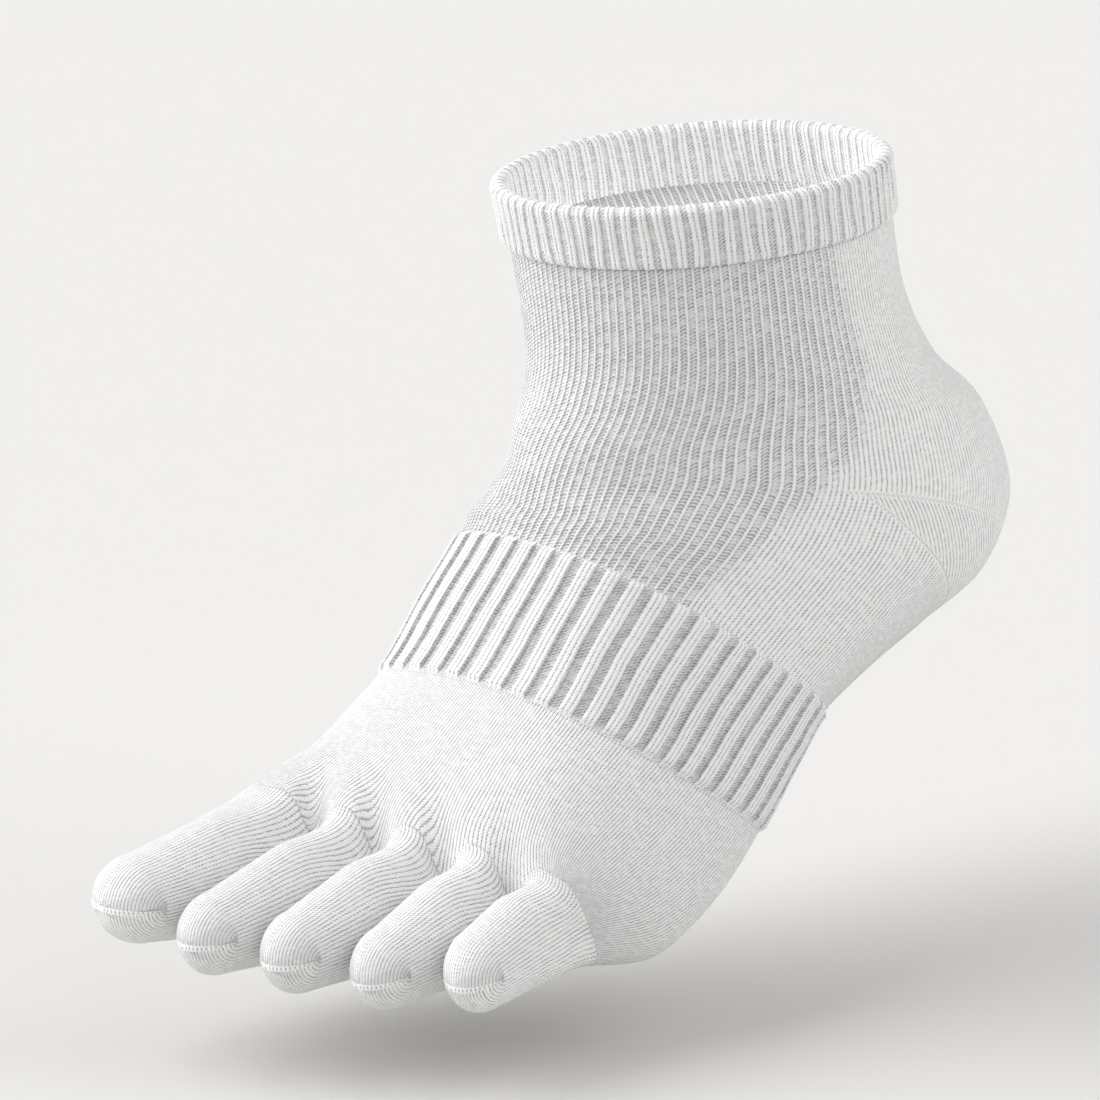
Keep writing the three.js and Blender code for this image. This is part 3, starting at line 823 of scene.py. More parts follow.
@dataclass
class Cuff(Zone):
    """The doubled cuff: ribs of two knit wales and one purl, a rolled rim and a tucked lower edge.

    Attributes:
        step: How far the outside stands out from the leg.
        tuck: Radius of the tucked lower edge.
        lap: How far the inside runs on under the leg.
        thins: The last stretch of the inside, over which the cuff thins to one wall.
        fades: The last stretch of the inside, over which its ribs fade.
        wavers: Waves that the ribs follow: reach in ribs, times round the cuff, and turn for each millimetre down.
        samples: Points across one rib.
    """

    node: str = "cuff"
    ribs: int = 76
    rib_height: float = 0.5
    thickness: float = 3.5
    step: float = 1.5
    tuck: float = 1.3
    lap: float = 0.5
    thins: float = 5.0
    fades: float = 4.0
    wavers: tuple[Place, ...] = ((0.05, 11.0, 0.2), (0.03, 29.0, -0.3))
    samples: int = 12

    def rib(self, phase: Array) -> Array:
        """Height of the ribs over one rib's width, from 0 in the purl groove to 1 on the knit wales.

        Two rounded columns side by side, with a shallow dip between them, fill two thirds of the rib.
        """
        raised = self.finish.raised
        place = np.mod(phase, 1.0) * self.finish.period
        columns = 0.82 + 0.18 * np.sqrt(np.clip(1.0 - (2.0 * np.mod(place, 1.0) - 1.0) ** 2, 0.0, 1.0))
        flank = smooth(np.minimum(place, raised - place) / 0.3)
        return np.where(place < raised, columns * flank, 0.0)

    def profile(self) -> Array:
        """The cuff's outline in section: millimetres below the rim, height above the leg's skin, and rib share.

        From the tucked lower edge up the outside, over the rim in half a circle, down the inside and along the
        bottom.

        Returns:
            One row for each ring.
        """
        roll = self.thickness / 2.0
        tall = float(np.linalg.norm(self.form.skin(1.0, 0.0) - self.form.skin(0.0, 0.0)))
        inner = self.step - self.thickness
        bend = np.linspace(0.0, np.pi / 2, 7)
        foot = np.stack([
            tall - self.tuck + self.tuck * np.cos(bend),
            self.step - self.tuck + self.tuck * np.sin(bend),
            0.35 + 0.65 * np.sin(bend),
        ], axis=1)
        up = np.linspace(tall - self.tuck, roll, 22)[1:-1]
        outside = np.stack([up, np.full_like(up, self.step), np.ones_like(up)], axis=1)
        over = np.linspace(0.0, np.pi, 15)
        rim = np.stack([
            roll * (1.0 - np.sin(over)),
            inner + roll + roll * np.cos(over),
            0.8 + 0.2 * np.cos(over),
        ], axis=1)
        down = np.linspace(roll, tall, 16)[1:]
        thin = (-self.form.wall - inner) * smooth((down - tall + self.thins) / self.thins)
        fading = 1.0 - smooth((down - tall + self.fades) / self.fades)
        within = np.stack([down, inner + thin, 0.6 * fading], axis=1)
        within = np.vstack([within, [tall + self.lap, LAP_DEPTH - self.form.wall, 0.0]])
        return np.vstack([foot, outside, rim, within])[::-1]

    def cloth(self) -> Cloth:
        """Carries the profile round the opening, with the ribs added to its height; they waver a little on the way.

        Returns:
            The shell.
        """
        count = self.ribs * self.samples
        angles = np.linspace(0.0, 2.0 * np.pi, count, endpoint=False)
        profile = self.profile()
        tall = profile[:, 0].max()
        down = profile[:, :1]
        waver = sum(reach * np.sin(times * angles + turn * down) for reach, times, turn in self.wavers)
        phase = self.ribs * angles / (2.0 * np.pi) + 1.0 / 3.0 + waver
        rows = np.broadcast_to(down / tall, (len(profile), count))
        sign = np.sign(profile[:, 1] - (self.step - self.thickness / 2.0) + 1e-9)[:, None]
        rib = (self.rib(phase) - 0.6) * self.rib_height * profile[:, 2:]
        shape = self.form.above(rows, angles[None, :], profile[:, 1:2] + rib * sign)
        path = way(profile[:, :2])
        courses = np.append(path, path[-1] + self.thickness)[:, None] / self.course
        u = self.finish.period * np.vstack([phase, phase[-1:]])
        knit = knit_grid(u, courses, self.finish.period * self.ribs)
        return Cloth(shape, knit, knit_marks(rows.shape, ribbing=1.0), flat_rings=(len(profile) - 1,))


@dataclass
class Leg(Zone):
    """The leg, from the cuff down to the ankle and over the top of the heel, finely ribbed in front.

    Attributes:
        rib_narrow: How far the raised wales draw together, in wales.
        lap: How far the upper edge runs up under the cuff, in rows.
        samples: Points across one wale.
        seam_lead: Degrees before the gusset's point at which its row of holes starts.
        seam_fade: Degrees over which it comes in.
    """

    node: str = "leg"
    rib_height: float = 0.22
    rib_narrow: float = 0.12
    lap: float = 0.03
    samples: int = 3
    rings: int = 64
    inner_rings: int = 14
    seam_lead: float = 6.0
    seam_fade: float = 3.0

    def edge(self, starts: Array, rule: Callable[[Array], Array]) -> Array:
        """The rows where wales meet an edge, found by following each wale a few times."""
        rows = rule(starts)
        for _ in range(6):
            rows = rule(self.form.along_wale(rows, starts))
        return rows

    def edges(self, starts: Array) -> tuple[Array, Array]:
        """The rows of the two edges, wale by wale; the upper one laps a hair under the cuff."""
        return np.full_like(starts, self.form.cuff_end - self.lap), self.edge(starts, self.form.gusset_upper)

    def courses(self, run: Array) -> Array:
        """Courses are counted from the cuff."""
        return run / self.course

    def behind(self, angles: Array) -> Array:
        """How much of the gusset's row of holes shows: none in front, fading in just before the gusset's point."""
        return HOLED_SEAM * smooth((self.form.turn(angles) - self.form.gusset_point + self.seam_lead) / self.seam_fade)

    def seam(self, run: Array, angles: Array, wales: Array) -> Array:
        """The row of holes along the gusset's upper edge."""
        return edge_seam(run[-1:] - run, wales, self.behind(angles[-1]))

    def cloth(self) -> Cloth:
        """The tube between its edges, with a ridge on every other wale where the ribbing shows.

        Returns:
            The shell.
        """
        form = self.form
        wales = np.arange(self.wales * self.samples) / self.samples
        starts = 2.0 * np.pi * wales / self.wales
        start, end = self.edges(starts)
        rows = between(start, end, self.rings)
        angles = form.along_wale(rows, starts[None, :])
        run = way(form.skin(rows, angles))
        ribbing = form.ribbing(rows, angles)
        ridge = 0.5 + 0.5 * np.cos(np.pi * (wales - 0.5))
        height = self.rib_height * (ridge[None, :] - 0.5) * ribbing
        marks = knit_marks(rows.shape, ribbing, self.seam(run, angles, wales))
        narrow = wales + self.rib_narrow * np.sin(np.pi * (wales - 0.5)) * ribbing
        courses = self.courses(run)
        tube = shell(form, rows, angles, height, narrow, courses, float(self.wales), self.inner_rings, marks)
        tube.marks["ribbing"][self.rings + 1:] = 1.0
        return tube


@dataclass
class Instep(Leg):
    """The tube from the ankle and the underside of the heel to the arch band, ribbed on top."""

    node: str = "instep"
    rings: int = 80
    first_course: float = 200.0

    def edges(self, starts: Array) -> tuple[Array, Array]:
        """The rows of the two edges, wale by wale."""
        return self.edge(starts, self.form.gusset_lower), np.full_like(starts, self.form.band_start)

    def courses(self, run: Array) -> Array:
        """Courses are counted back from the arch band, so that they lie square to the foot."""
        return (run - run[-1:]) / self.course + self.first_course

    def seam(self, run: Array, angles: Array, wales: Array) -> Array:
        """The row of holes along the gusset's lower edge."""
        return edge_seam(run, wales, self.behind(angles[0]))


@dataclass
class HeelGusset(Zone):
    """The wedge of turned rows round the back of the heel, pointed at both sides.

    Attributes:
        slant: How far wales and courses drift for each millimetre away from the back of the heel.
        wale_width: Width of one wale of the turned rows in millimetres.
    """

    node: str = "heel_gusset"
    samples: int = 3
    rings: int = 22
    slant: float = 0.9
    wale_width: float = 1.45
    course: float = 1.1

    def cloth(self) -> Cloth:
        """Carries a strip from point to point round the heel.

        Each ring of the shell is one section of the wedge, over the outside and back along the inside; its wales and
        courses lie at a slant to both edges.

        Returns:
            The shell, closed on a pole at each point.
        """
        form = self.form
        count = self.wales * self.samples
        angles = 2.0 * np.pi * np.arange(count, 0, -1) / count
        angles = angles[form.turn(angles) > form.gusset_point]
        top, bottom = form.gusset_upper(angles), form.gusset_lower(angles)
        rows = between(top, bottom, self.rings).T
        grid = np.broadcast_to(angles[:, None], rows.shape)
        outside = form.above(rows, grid, np.zeros_like(rows))
        inside = form.above(rows, grid, np.full_like(rows, -form.wall))[:, ::-1]
        points = np.concatenate([outside, inside], axis=1)
        down = way(outside.swapaxes(0, 1)).T
        around = way(form.skin((top + bottom) / 2, angles))[:, None]
        down_all = np.concatenate([down, down[:, ::-1]], axis=1)
        around_all = np.broadcast_to(around, down_all.shape)
        back = np.abs(around_all - around_all.max() / 2) * self.slant
        u = (down_all + back) / self.wale_width
        v = (down_all - back) / self.course
        knit = knit_grid(u, v)
        knit = np.concatenate([knit, knit[-1:]])
        distance = np.minimum(down_all, down[:, -1:] - down_all)
        marks = knit_marks(points.shape[:2], seam=edge_seam(distance, around_all, HOLED_SEAM))
        poles = points[[0, -1]].mean(axis=1)
        pole_knit = knit[[0, -2]].mean(axis=1)
        walls = (self.rings - 1, 2 * self.rings - 1)
        return Cloth(points, knit, marks, poles, pole_knit, flat_columns=walls)


@dataclass
class ArchBand(Zone):
    """The band round the middle of the foot: raised ribs of three wales with sunken, hatched grooves between them.

    Attributes:
        rib_share: Share of a rib's width that is raised.
        flank: Share of a rib's width that each of its two slopes takes.
        rib_end: Where a rib starts from the band's edge, and over how many millimetres it rises.
    """

    node: str = "arch_band"
    ribs: int = 46
    rib_height: float = 0.95
    rib_share: float = 0.6
    flank: float = 0.05
    rib_end: tuple[float, float] = (0.3, 0.9)
    rings: int = 56
    inner_rings: int = 12

    def places(self) -> Array:
        """Places across one rib, from -0.5 to 0.5 of its width, closest on its two flanks."""
        half = self.rib_share / 2
        side = np.concatenate([[0.5, 0.43, 0.37], half + self.flank * np.linspace(0.5, -0.5, 5), [0.2, 0.1]])
        return np.concatenate([-side, [0.0], side[:0:-1]])

    def cloth(self) -> Cloth:
        """The tube between its edges, raised along each rib; the ribs start and stop within a stitch of the edges.

        Returns:
            The shell.
        """
        form = self.form
        place = np.tile(self.places(), self.ribs)
        shares = (np.repeat(np.arange(self.ribs), len(self.places())) + 0.5 + place) / self.ribs
        middle = (form.band_start + form.band_end) / 2
        rows = between(np.full(len(shares), form.band_start), form.band_end, self.rings)
        angles = form.by_length(middle, shares) + form.wound(rows, middle)
        half = self.rib_share / 2
        flank = smooth((half + self.flank / 2 - np.abs(place)) / self.flank)
        crown = 0.9 + 0.1 * np.cos(np.clip(place / half, -1.0, 1.0) * np.pi / 2)
        run = way(form.skin(rows, angles))
        inset = np.minimum(run, run[-1:] - run)
        start, rise = self.rib_end
        height = self.rib_height * (flank * crown)[None, :] * smooth((inset - start) / rise)
        # Counting starts one wale late, so that the three raised wales of five lie on the rib.
        wales_round = float(self.finish.period * self.ribs)
        wales = wales_round * shares - 1.0
        # Painted shade along the foot of each rib's flanks.
        foot = np.exp(-(((np.abs(place) - half - self.flank) / self.flank) ** 2))
        marks = knit_marks(rows.shape, 1.0, edge_seam(inset, wales, FAINT_SEAM), 0.5 * foot)
        return shell(form, rows, angles, height, wales, run / self.course, wales_round, self.inner_rings, marks)


@dataclass
class Forefoot(Zone):
    """The smooth tube round the ball of the foot, with furrows that open into the gaps between the toes.

    Attributes:
        crowding: Power that puts the rings closer together near the toes.
        shade_rows: Rows before the toes over which the furrows' painted shade comes in.
        shade: Painted shade in the middle of a furrow.
    """

    node: str = "forefoot"
    arc_steps: int = 24
    side_steps: int = 60
    rings: int = 84
    inner_rings: int = 14
    crowding: float = 0.8
    shade_rows: float = 1.3
    shade: float = 0.8

    def root_angles(self) -> Array:
        """Angles round the end of the tube, with the same steps as the toes that leave it."""
        form = self.form
        tops = [form.angle_across(place, True) for place in form.furrows]
        soles = [form.angle_across(place, False) for place in form.furrows]
        marks = [*tops, *soles[::-1], tops[0] + 2.0 * math.pi]
        ends = (len(tops) - 1, len(marks) - 2)
        parts = []
        for k, (low, high) in enumerate(zip(marks, marks[1:])):
            steps = self.side_steps if k in ends else self.arc_steps
            parts.append(np.linspace(low, high, steps, endpoint=False))
        return np.concatenate(parts)

    def cloth(self) -> Cloth:
        """The tube from the arch band to the roots of the toes, with closer rings near the toes.

        Returns:
            The shell.
        """
        form = self.form
        ends = self.root_angles()
        rows = between(np.full(len(ends), form.band_end), form.toe_roots, self.rings, self.crowding)
        angles = ends + form.wound(rows, form.toe_roots)
        run = way(form.skin(rows, angles))
        rise, wide = form.shares(form.column(rows, Column.SQUARE), angles)
        away = form.from_furrows(wide, form.column(rows, Column.HALF))
        near = smooth((rows - form.toe_roots + self.shade_rows) / self.shade_rows)
        # Painted shade in the furrows between the toes, strongest near the toe roots.
        painted_shade = np.exp(-9.0 * away * away).sum(axis=-1) * near * np.abs(rise)
        marks = knit_marks(rows.shape, painted_shade=self.shade * np.clip(painted_shade, 0.0, 1.0))
        wales, courses = foot_wales(form, ends), run / self.course
        flat = np.zeros(rows.shape)
        return shell(form, rows, angles, flat, wales, courses, float(FOOT_WALES), self.inner_rings, marks)


@dataclass(frozen=True)
class ToeShape:
    """Where a toe ends. Across is a share of the foot's width, reach of its length and drop of its drop.

    Wide is a share of the foot's width, high of its drop and dome of its length.
    """

    name: str
    across: float
    reach: float
    drop: float
    wide: float
    high: float
    dome: float

    def tip(self, form: Form) -> Array:
        """The middle of the toe's end, where its dome starts, in millimetres."""
        return np.array([
            self.across * form.foot_width,
            -self.reach * form.foot_length,
            -form.leg_height - self.drop * form.foot_drop,
        ])

    def size(self, form: Form) -> tuple[float, float]:
        """Width and height of the toe's end, in millimetres."""
        return self.wide * form.foot_width, self.high * form.foot_drop


@dataclass(frozen=True)
class Opening:
    """The loop of points that a toe leaves from, as it is seen from its own middle.

    Attributes:
        basis: Directions to the side, up and out of the foot, one in each column.
        centre: Middle of the loop.
        places: The loop's points from that middle, along the three directions.
        half: Half the loop's width and half its height.
    """

    basis: Array
    centre: Array
    places: Array
    half: Array

    @property
    def angles(self) -> Array:
        """The angle of each point, 0 at the top and rising towards the little toe."""
        return np.arctan2(self.places[:, 0] / self.half[0], self.places[:, 1] / self.half[1])


TOES = (
    ToeShape("big_toe", -0.308, 0.552, 0.793, 0.237, 0.171, 0.042),
    ToeShape("second_toe", -0.093, 0.523, 0.833, 0.174, 0.161, 0.039),
    ToeShape("third_toe", 0.089, 0.481, 0.853, 0.172, 0.161, 0.039),
    ToeShape("fourth_toe", 0.27, 0.432, 0.873, 0.171, 0.161, 0.039),
    ToeShape("little_toe", 0.451, 0.381, 0.866, 0.178, 0.161, 0.039),
)


@dataclass
class Toe(Zone):
    """One toe: it leaves the forefoot with its opening's shape and tapers to a rounded tip with a seam across it.

    Attributes:
        index: The toe's place in TOES.
        rounding: Share of the way to the tip by which the loop has become an ellipse.
        flow: Share of the way over which the toe still follows the forefoot's direction.
        pitch: Wales to the millimetre round the tip.
        seam_pitch: Millimetres between the holes of the seam.
        seam_start: Share of the dome over which the seam comes in.
        seam_reach: Angle from the middle of the top at which the seam ends, and the angle over which it does so.
        shaded: Share of the way to the tip that the painted shade between the toes reaches.
    """

    index: int = 0
    arc_steps: int = 24
    web_steps: int = 12
    side_steps: int = 60
    rings: int = 52
    inner_rings: int = 26
    dome_rings: int = 18
    rounding: float = 0.7
    flow: float = 0.5
    pitch: float = 1.35
    seam_height: float = 0.06
    seam_width: float = 0.7
    seam_pitch: float = 0.95
    seam_start: float = 0.2
    seam_reach: tuple[float, float] = (1.52, 0.15)
    shaded: float = 0.6

    def spans(self) -> list[tuple[float, float, int]]:
        """The stretches of the forefoot's end that the toe leaves from: first angle, last angle and steps.

        The toes at the two sides have one, round their side of the foot; the others have one on the top and one on
        the sole.
        """
        form, k = self.form, self.index
        far, near = form.furrows[max(k - 1, 0)], form.furrows[min(k, len(form.furrows) - 1)]
        far_top, far_sole = form.angle_across(far, True), form.angle_across(far, False)
        near_top, near_sole = form.angle_across(near, True), form.angle_across(near, False)
        if k == 0:
            return [(near_sole - 2.0 * math.pi, near_top, self.side_steps)]
        if k == len(TOES) - 1:
            return [(far_top, far_sole, self.side_steps)]
        return [(far_top, near_top, self.arc_steps), (near_sole, far_sole, self.arc_steps)]

    def root_angles(self) -> Array:
        """The forefoot's angle at each point of the root loop; points of a web have none."""
        gap = np.full(self.web_steps - 1, np.nan)
        return np.concatenate([
            part for low, high, steps in self.spans() for part in (np.linspace(low, high, steps + 1), gap)
        ])

    def root(self) -> Array:
        """The loop of points where the toe leaves: over the top, down one side, back along the sole and up.

        A web is a straight run of points from the end of one stretch to the start of the next.

        Returns:
            The loop, in millimetres.
        """
        arcs = []
        for low, high, steps in self.spans():
            angles = np.linspace(low, high, steps + 1)
            arcs.append(self.form.skin(np.full_like(angles, self.form.toe_roots), angles))
        share = (np.arange(1, self.web_steps) / self.web_steps)[:, None]
        parts = []
        for arc, following in zip(arcs, arcs[1:] + arcs[:1]):
            parts += [arc, arc[-1] + (following[0] - arc[-1]) * share]
        return np.vstack(parts)

    def opening(self) -> Opening:
        """Takes the root's loop in the directions of the forefoot's end."""
        row = self.form.rows(np.array(self.form.toe_roots))
        front, back, front_z, back_z = row[:4]
        yaw, lean = row[Column.YAW], row[Column.LEAN]
        side = np.array([math.cos(yaw), math.sin(yaw), 0.0])
        up = unit(np.array([0.0, front - back, front_z - back_z]) - 2.0 * lean * side)
        basis = np.stack([side, up, unit(np.cross(side, up))], axis=1)
        places = self.root() @ np.linalg.inv(basis).T
        low, high = places.min(axis=0), places.max(axis=0)
        middle = (low + high) / 2
        return Opening(basis, basis @ middle, places - middle, (high - low)[:2] / 2)

    def outside(self, opening: Opening, t: Array, shrink: Array, ahead: Array) -> Array:
        """Carries the root's loop forward along a straight axis.

        The loop is turned into an ellipse on the way, while its half width and half height shrink evenly to the
        tip's.

        Args:
            opening: The loop that the toe leaves from.
            t: Shares of the way to the tip, one for each ring.
            shrink: What the size of each ring is times by, which rounds off the tip.
            ahead: How far each ring lies past the end of the way, in millimetres.

        Returns:
            The rings, in millimetres.
        """
        spec, centre, angles = TOES[self.index], opening.centre, opening.angles
        tip = spec.tip(self.form)
        tip_wide, tip_high = spec.size(self.form)
        forward = unit(tip - centre)
        side_root, up_root = opening.basis.T[:2]
        side_tip = np.array([1.0, 0.0, 0.0])
        up_tip = unit(np.cross(forward, side_tip))
        side = unit(side_root + (side_tip - side_root) * t[:, None])
        up = unit(up_root + (up_tip - up_root) * t[:, None])
        heart = centre + (tip - centre) * t[:, None] + forward * ahead[:, None]
        half_side, half_up = opening.half
        root_half = half_side * side_root[0]
        half_wide = (root_half + (tip_wide / 2 - root_half) * t) * shrink / side[:, 0]
        half_high = (half_up + (tip_high / 2 - half_up) * t) * shrink
        squeeze = np.stack([half_wide / half_side, half_high / half_up, half_high / half_up], axis=1)
        square = (opening.places[None, :, :] * squeeze[:, None, :]) @ opening.basis.T
        circle = side[:, None, :] * (np.sin(angles)[None, :] * half_wide[:, None])[..., None]
        circle = circle + up[:, None, :] * (np.cos(angles)[None, :] * half_high[:, None])[..., None]
        ease = smooth(t / self.rounding)[:, None, None]
        rings = square + (circle - square) * ease + heart[:, None, :]
        return rings + self.follow(rings, t)

    def top_wale(self, round_it: Array) -> float:
        """The forefoot's wale that runs on along the top of the toe."""
        angles = self.root_angles()
        known = ~np.isnan(angles)
        return foot_wales(self.form, np.interp(0.0, round_it[known], angles[known]))

    def cloth(self) -> Cloth:
        """The toe's outside, closed at the tip by quarter-circle rings, and its inside, moved in by the wall.

        The wales run along the toe and over its tip as small circles round its two sides, and meet at the seam.

        Returns:
            The shell, closed on a pole at the tip, outside and inside.
        """
        form, spec, opening = self.form, TOES[self.index], self.opening()
        tip, dome = spec.tip(form), spec.dome * form.foot_length
        girth = np.pi * sum(spec.size(form)) / 2
        radius = sum(spec.size(form)) / 4
        lift = np.linspace(0.0, np.pi / 2, self.dome_rings + 1)[1:-1]
        t = np.concatenate([np.linspace(0.0, 1.0, self.rings), np.ones(len(lift))])
        shrink = np.concatenate([np.ones(self.rings), np.cos(lift)])[:, None]
        ahead = np.concatenate([np.zeros(self.rings), dome * np.sin(lift)])
        outside = self.outside(opening, t, shrink[:, 0], ahead)

        angles = opening.angles
        round_it = np.unwrap(angles)
        face = np.round(round_it / np.pi)
        fold = np.arcsin(np.clip(shrink * np.sin(round_it - face * np.pi), -1.0, 1.0))
        over = np.arctan2(np.sqrt(np.clip(1.0 - shrink**2, 0.0, 1.0)), shrink * np.abs(np.cos(angles)))
        total = float(round(self.pitch * girth))
        u = self.top_wale(round_it) + total * (face * np.pi + fold) / (2.0 * np.pi)
        v = self.root_courses() + t[:, None] * float(np.linalg.norm(tip - opening.centre)) / self.course
        v = v + np.where(ahead[:, None] > 0.0, radius * over / self.course, 0.0)

        reach, fade = self.seam_reach
        across = radius * (np.pi / 2 - over) * np.sign(np.cos(angles))
        present = smooth(ahead / dome / self.seam_start)[:, None] * smooth((reach - np.abs(fold)) / fade)
        seam = edge_seam(across, radius * np.abs(fold) / self.seam_pitch, present)
        # The shade between the toes is painted into the yarn's colour through this mark.
        marks = knit_marks(outside.shape[:2], seam=seam, painted_shade=self.web_shade(t, angles))
        ridge = np.exp(-((across / self.seam_width) ** 2)) * present * self.seam_height
        normals = self.normals(outside, opening.basis[:, 2])
        raised = outside + normals * ridge[..., None]
        inside = outside - normals * form.wall

        pick = np.unique(np.linspace(0, len(t) - 1, self.inner_rings).round().astype(int))[::-1]
        points = np.concatenate([inside[pick], raised])
        marks = {name: np.concatenate([values[pick], values]) for name, values in marks.items()}
        knit = knit_grid(u, v, total)
        knit = np.concatenate([knit[pick], knit, knit[-1:]])
        forward = unit(tip - opening.centre)
        poles = np.stack([tip + forward * (dome - form.wall), tip + forward * (dome + self.seam_height)])
        return Cloth(points, knit, marks, poles, knit[[0, -2], 0], flat_rings=(len(pick) - 1,))

    def root_courses(self) -> Array:
        """Course numbers round the root loop: the forefoot's way along from the arch band, read across the webs."""
        form = self.form
        angles = self.root_angles()
        known = np.flatnonzero(~np.isnan(angles))
        rows = between(np.full(len(known), form.band_end), form.toe_roots, 60)
        run = way(form.skin(rows, angles[known] + form.wound(rows, form.toe_roots)))[-1]
        index = np.append(known, len(angles))
        return np.interp(np.arange(len(angles)), index, np.append(run, run[0])) / self.course

    def follow(self, rings: Array, t: Array) -> Array:
        """Bends the start of the toe so that it runs on smoothly from the forefoot.

        The step along the toe at its root is swapped for one of the same length in the direction that the forefoot
        ends in; the swap fades out as t times the square of one less t over the flow. Webs read their direction
        between their two ends.

        Args:
            rings: The outside, ring by ring.
            t: Shares of the way along the toe, one for each ring.

        Returns:
            What is added to each point.
        """
        form = self.form
        angles = self.root_angles()
        known = ~np.isnan(angles)
        at = np.nan_to_num(angles)
        end = np.full_like(at, form.toe_roots)
        ahead = unit(form.skin(end, at) - form.skin(end - 0.05, at))
        count = len(angles)
        index = np.arange(count)
        wrapped = np.concatenate([index[known], [count]])
        filled = np.stack([
            np.interp(index, wrapped, np.append(ahead[known, axis], ahead[0, axis])) for axis in range(3)
        ], axis=1)
        slope = (rings[1] - rings[0]) / (t[1] - t[0])
        swap = unit(filled) * np.linalg.norm(slope, axis=1, keepdims=True) - slope
        fade = t * np.clip(1.0 - t / self.flow, 0.0, 1.0) ** 2
        return fade[:, None, None] * swap[None, :, :]

    def normals(self, rings: Array, leave: Array) -> Array:
        """Directions out of the toe: the step along it crossed with the step round it.

        Args:
            rings: The outside, ring by ring.
            leave: The way the toe leaves the foot, which stands for the step along it at the root.

        Returns:
            Unit directions on the same grid.
        """
        along = np.gradient(rings, axis=0)
        along[0] = leave
        round_it = np.roll(rings, -1, axis=1) - np.roll(rings, 1, axis=1)
        return unit(np.cross(along, round_it))

    def web_shade(self, t: Array, angles: Array) -> Array:
        """Painted shade in the gaps between toes: strongest on the side walls at the root, gone past halfway along."""
        wall = np.abs(np.sin(angles)) ** 6
        if self.index == 0:
            wall = wall * (np.sin(angles) > 0)
        if self.index == len(TOES) - 1:
            wall = wall * (np.sin(angles) < 0)
        return wall[None, :] * (1.0 - smooth(t / self.shaded))[:, None]


@dataclass
class Sock:
    """The whole sock, zone by zone from the rim to the toes."""

    form: Form = field(default_factory=Form)

    def zones(self) -> list[Zone]:
        """The zones in order."""
        form = self.form
        foot = Knit(Slot.FOOT, hatch=0.4, shade=1.0)
        toe = Knit(Slot.TOE)
        zones: list[Zone] = [
            Cuff(form, Knit(Slot.CUFF, period=3, raised=2, hatch=0.6, shade=0.7)),
            Leg(form, Knit(Slot.LEG, hatch=0.4, shade=0.9)),
            HeelGusset(form, Knit(Slot.HEEL)),
            Instep(form, foot),
            ArchBand(form, Knit(Slot.ARCH, period=5, raised=3, hatch=0.5, shade=0.7)),
            Forefoot(form, foot),
        ]
        zones.extend(Toe(form, toe, node=shape.name, index=k) for k, shape in enumerate(TOES))
        return zones

    def build(self) -> None:
        """Builds every zone and reports it."""
        for zone in self.zones():
            piece = zone.build()
            piece.data.calc_loop_triangles()
            log.info("%s: %d triangles in %s", piece.name, len(piece.data.loop_triangles), zone.finish.slot.value)


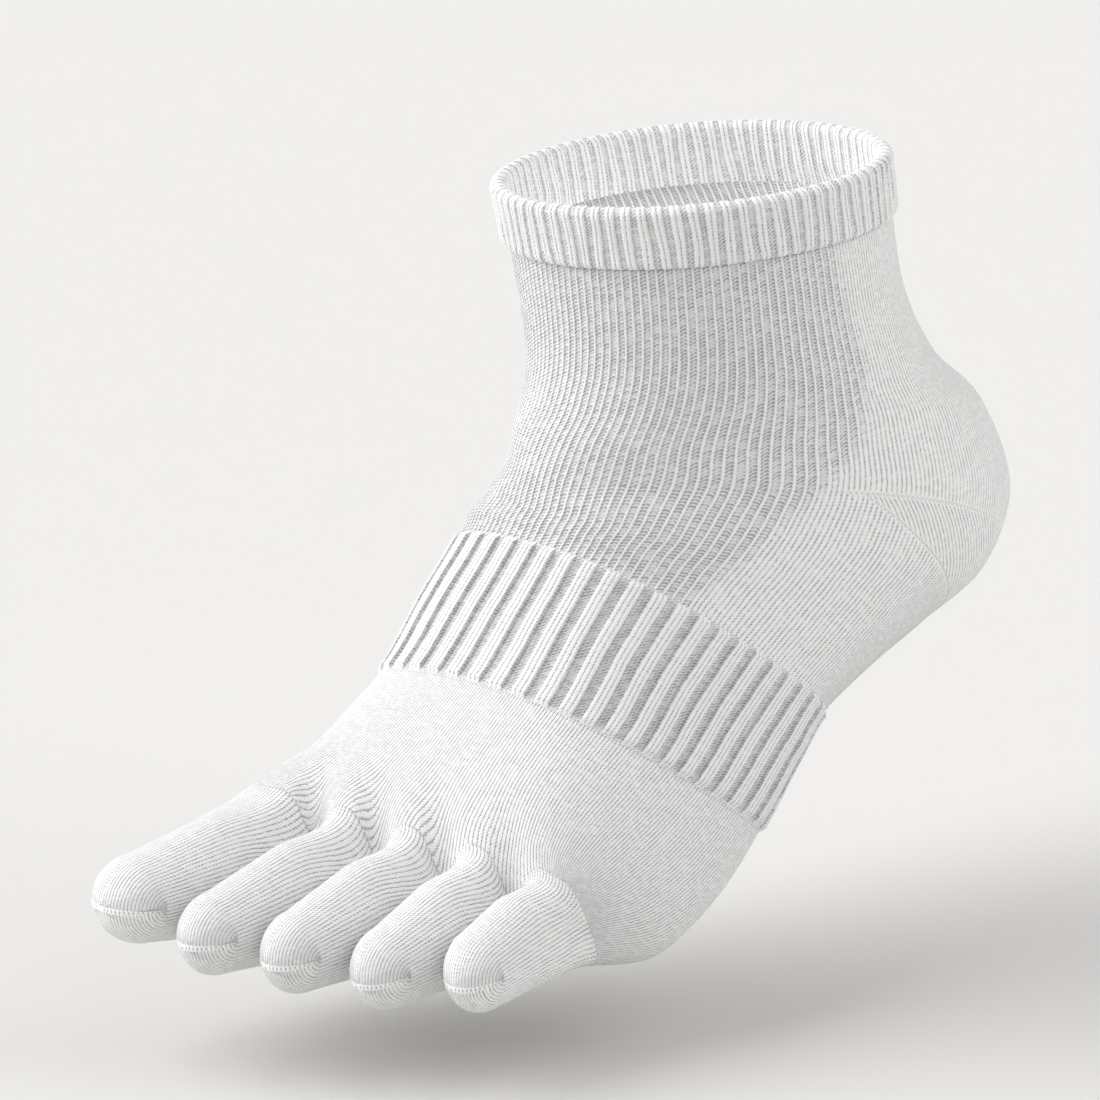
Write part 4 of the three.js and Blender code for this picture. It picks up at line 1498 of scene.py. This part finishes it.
@dataclass
class Studio:
    """A plain pale floor, soft even light with a key from the left and a weak fill from the right, and the camera."""

    floor_height: float = -0.178
    floor_size: float = 24.0
    floor_colour: Colour = (0.685, 0.678, 0.668, 1.0)
    sky: float = 0.6
    sky_colour: Colour = (1.0, 0.997, 0.99, 1.0)
    key: float = 2.75
    key_from: Place = (-0.62, -0.72, 0.75)
    fill: float = 0.8
    fill_from: Place = (0.6, 0.72, 0.6)
    spread: float = 60.0
    inner_glow: float = 0.036
    glow_radius: float = 0.02
    glow_place: Place = (0.0, 0.0, -0.035)
    camera_place: Place = (0.69844, -0.64703, 0.16929)
    azimuth: float = 49.0
    elevation: float = 15.0
    view_angle: float = 14.0
    sensor: float = 36.0
    clip: tuple[float, float] = (0.05, 40.0)

    def floor(self) -> None:
        """Lays the floor: one flat square with a matt finish."""
        half = self.floor_size / 2
        corners = [(-half, -half), (half, -half), (half, half), (-half, half)]
        mesh = bpy.data.meshes.new("floor")
        mesh.from_pydata([(x, y, self.floor_height) for x, y in corners], [], [(0, 1, 2, 3)])
        floor = link("floor", mesh)
        g = Graph("floor_paper")
        shader = g.node("ShaderNodeBsdfPrincipled")
        g.feed(shader.inputs["Base Color"], self.floor_colour)
        g.feed(shader.inputs["Roughness"], 1.0)
        g.feed(shader.inputs["Specular IOR Level"], 0.0)
        g.feed(g.node("ShaderNodeOutputMaterial").inputs["Surface"], shader.outputs[0])
        mesh.materials.append(g.material)

    def lights(self) -> None:
        """Sets the even light of the room, the two wide lights and a weak glow inside the sock."""
        world = bpy.data.worlds.new("room")
        bpy.context.scene.world = world
        world.use_nodes = True
        background = world.node_tree.nodes["Background"]
        background.inputs["Color"].default_value = self.sky_colour
        background.inputs["Strength"].default_value = self.sky
        for name, energy, came_from in (("key", self.key, self.key_from), ("fill", self.fill, self.fill_from)):
            lamp = bpy.data.lights.new(name, "SUN")
            lamp.energy = energy
            lamp.angle = math.radians(self.spread)
            link(name, lamp).rotation_euler = Vector(came_from).to_track_quat("Z", "Y").to_euler()
        glow = bpy.data.lights.new("glow", "POINT")
        glow.energy = self.inner_glow
        glow.shadow_soft_size = self.glow_radius
        link("glow", glow).location = self.glow_place

    def camera(self) -> None:
        """Sets the camera where the picture was taken from."""
        lens = bpy.data.cameras.new("camera")
        lens.sensor_width = self.sensor
        lens.lens = self.sensor / 2 / math.tan(math.radians(self.view_angle / 2))
        lens.clip_start, lens.clip_end = self.clip
        camera = link("camera", lens)
        camera.location = self.camera_place
        camera.rotation_euler = (math.radians(90.0 - self.elevation), 0.0, math.radians(self.azimuth))
        bpy.context.scene.camera = camera

    def build(self) -> None:
        """Sets floor, light and camera, and plain colour handling."""
        self.floor()
        self.lights()
        self.camera()
        bpy.context.scene.view_settings.view_transform = "Standard"
        log.info("studio: floor at %.3f m", self.floor_height)


def main() -> None:
    """Builds the sock and the studio."""
    logging.basicConfig(level=logging.INFO, format="%(name)s %(message)s")
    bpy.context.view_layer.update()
    Sock().build()
    Studio().build()


if __name__ == "__main__":
    main()
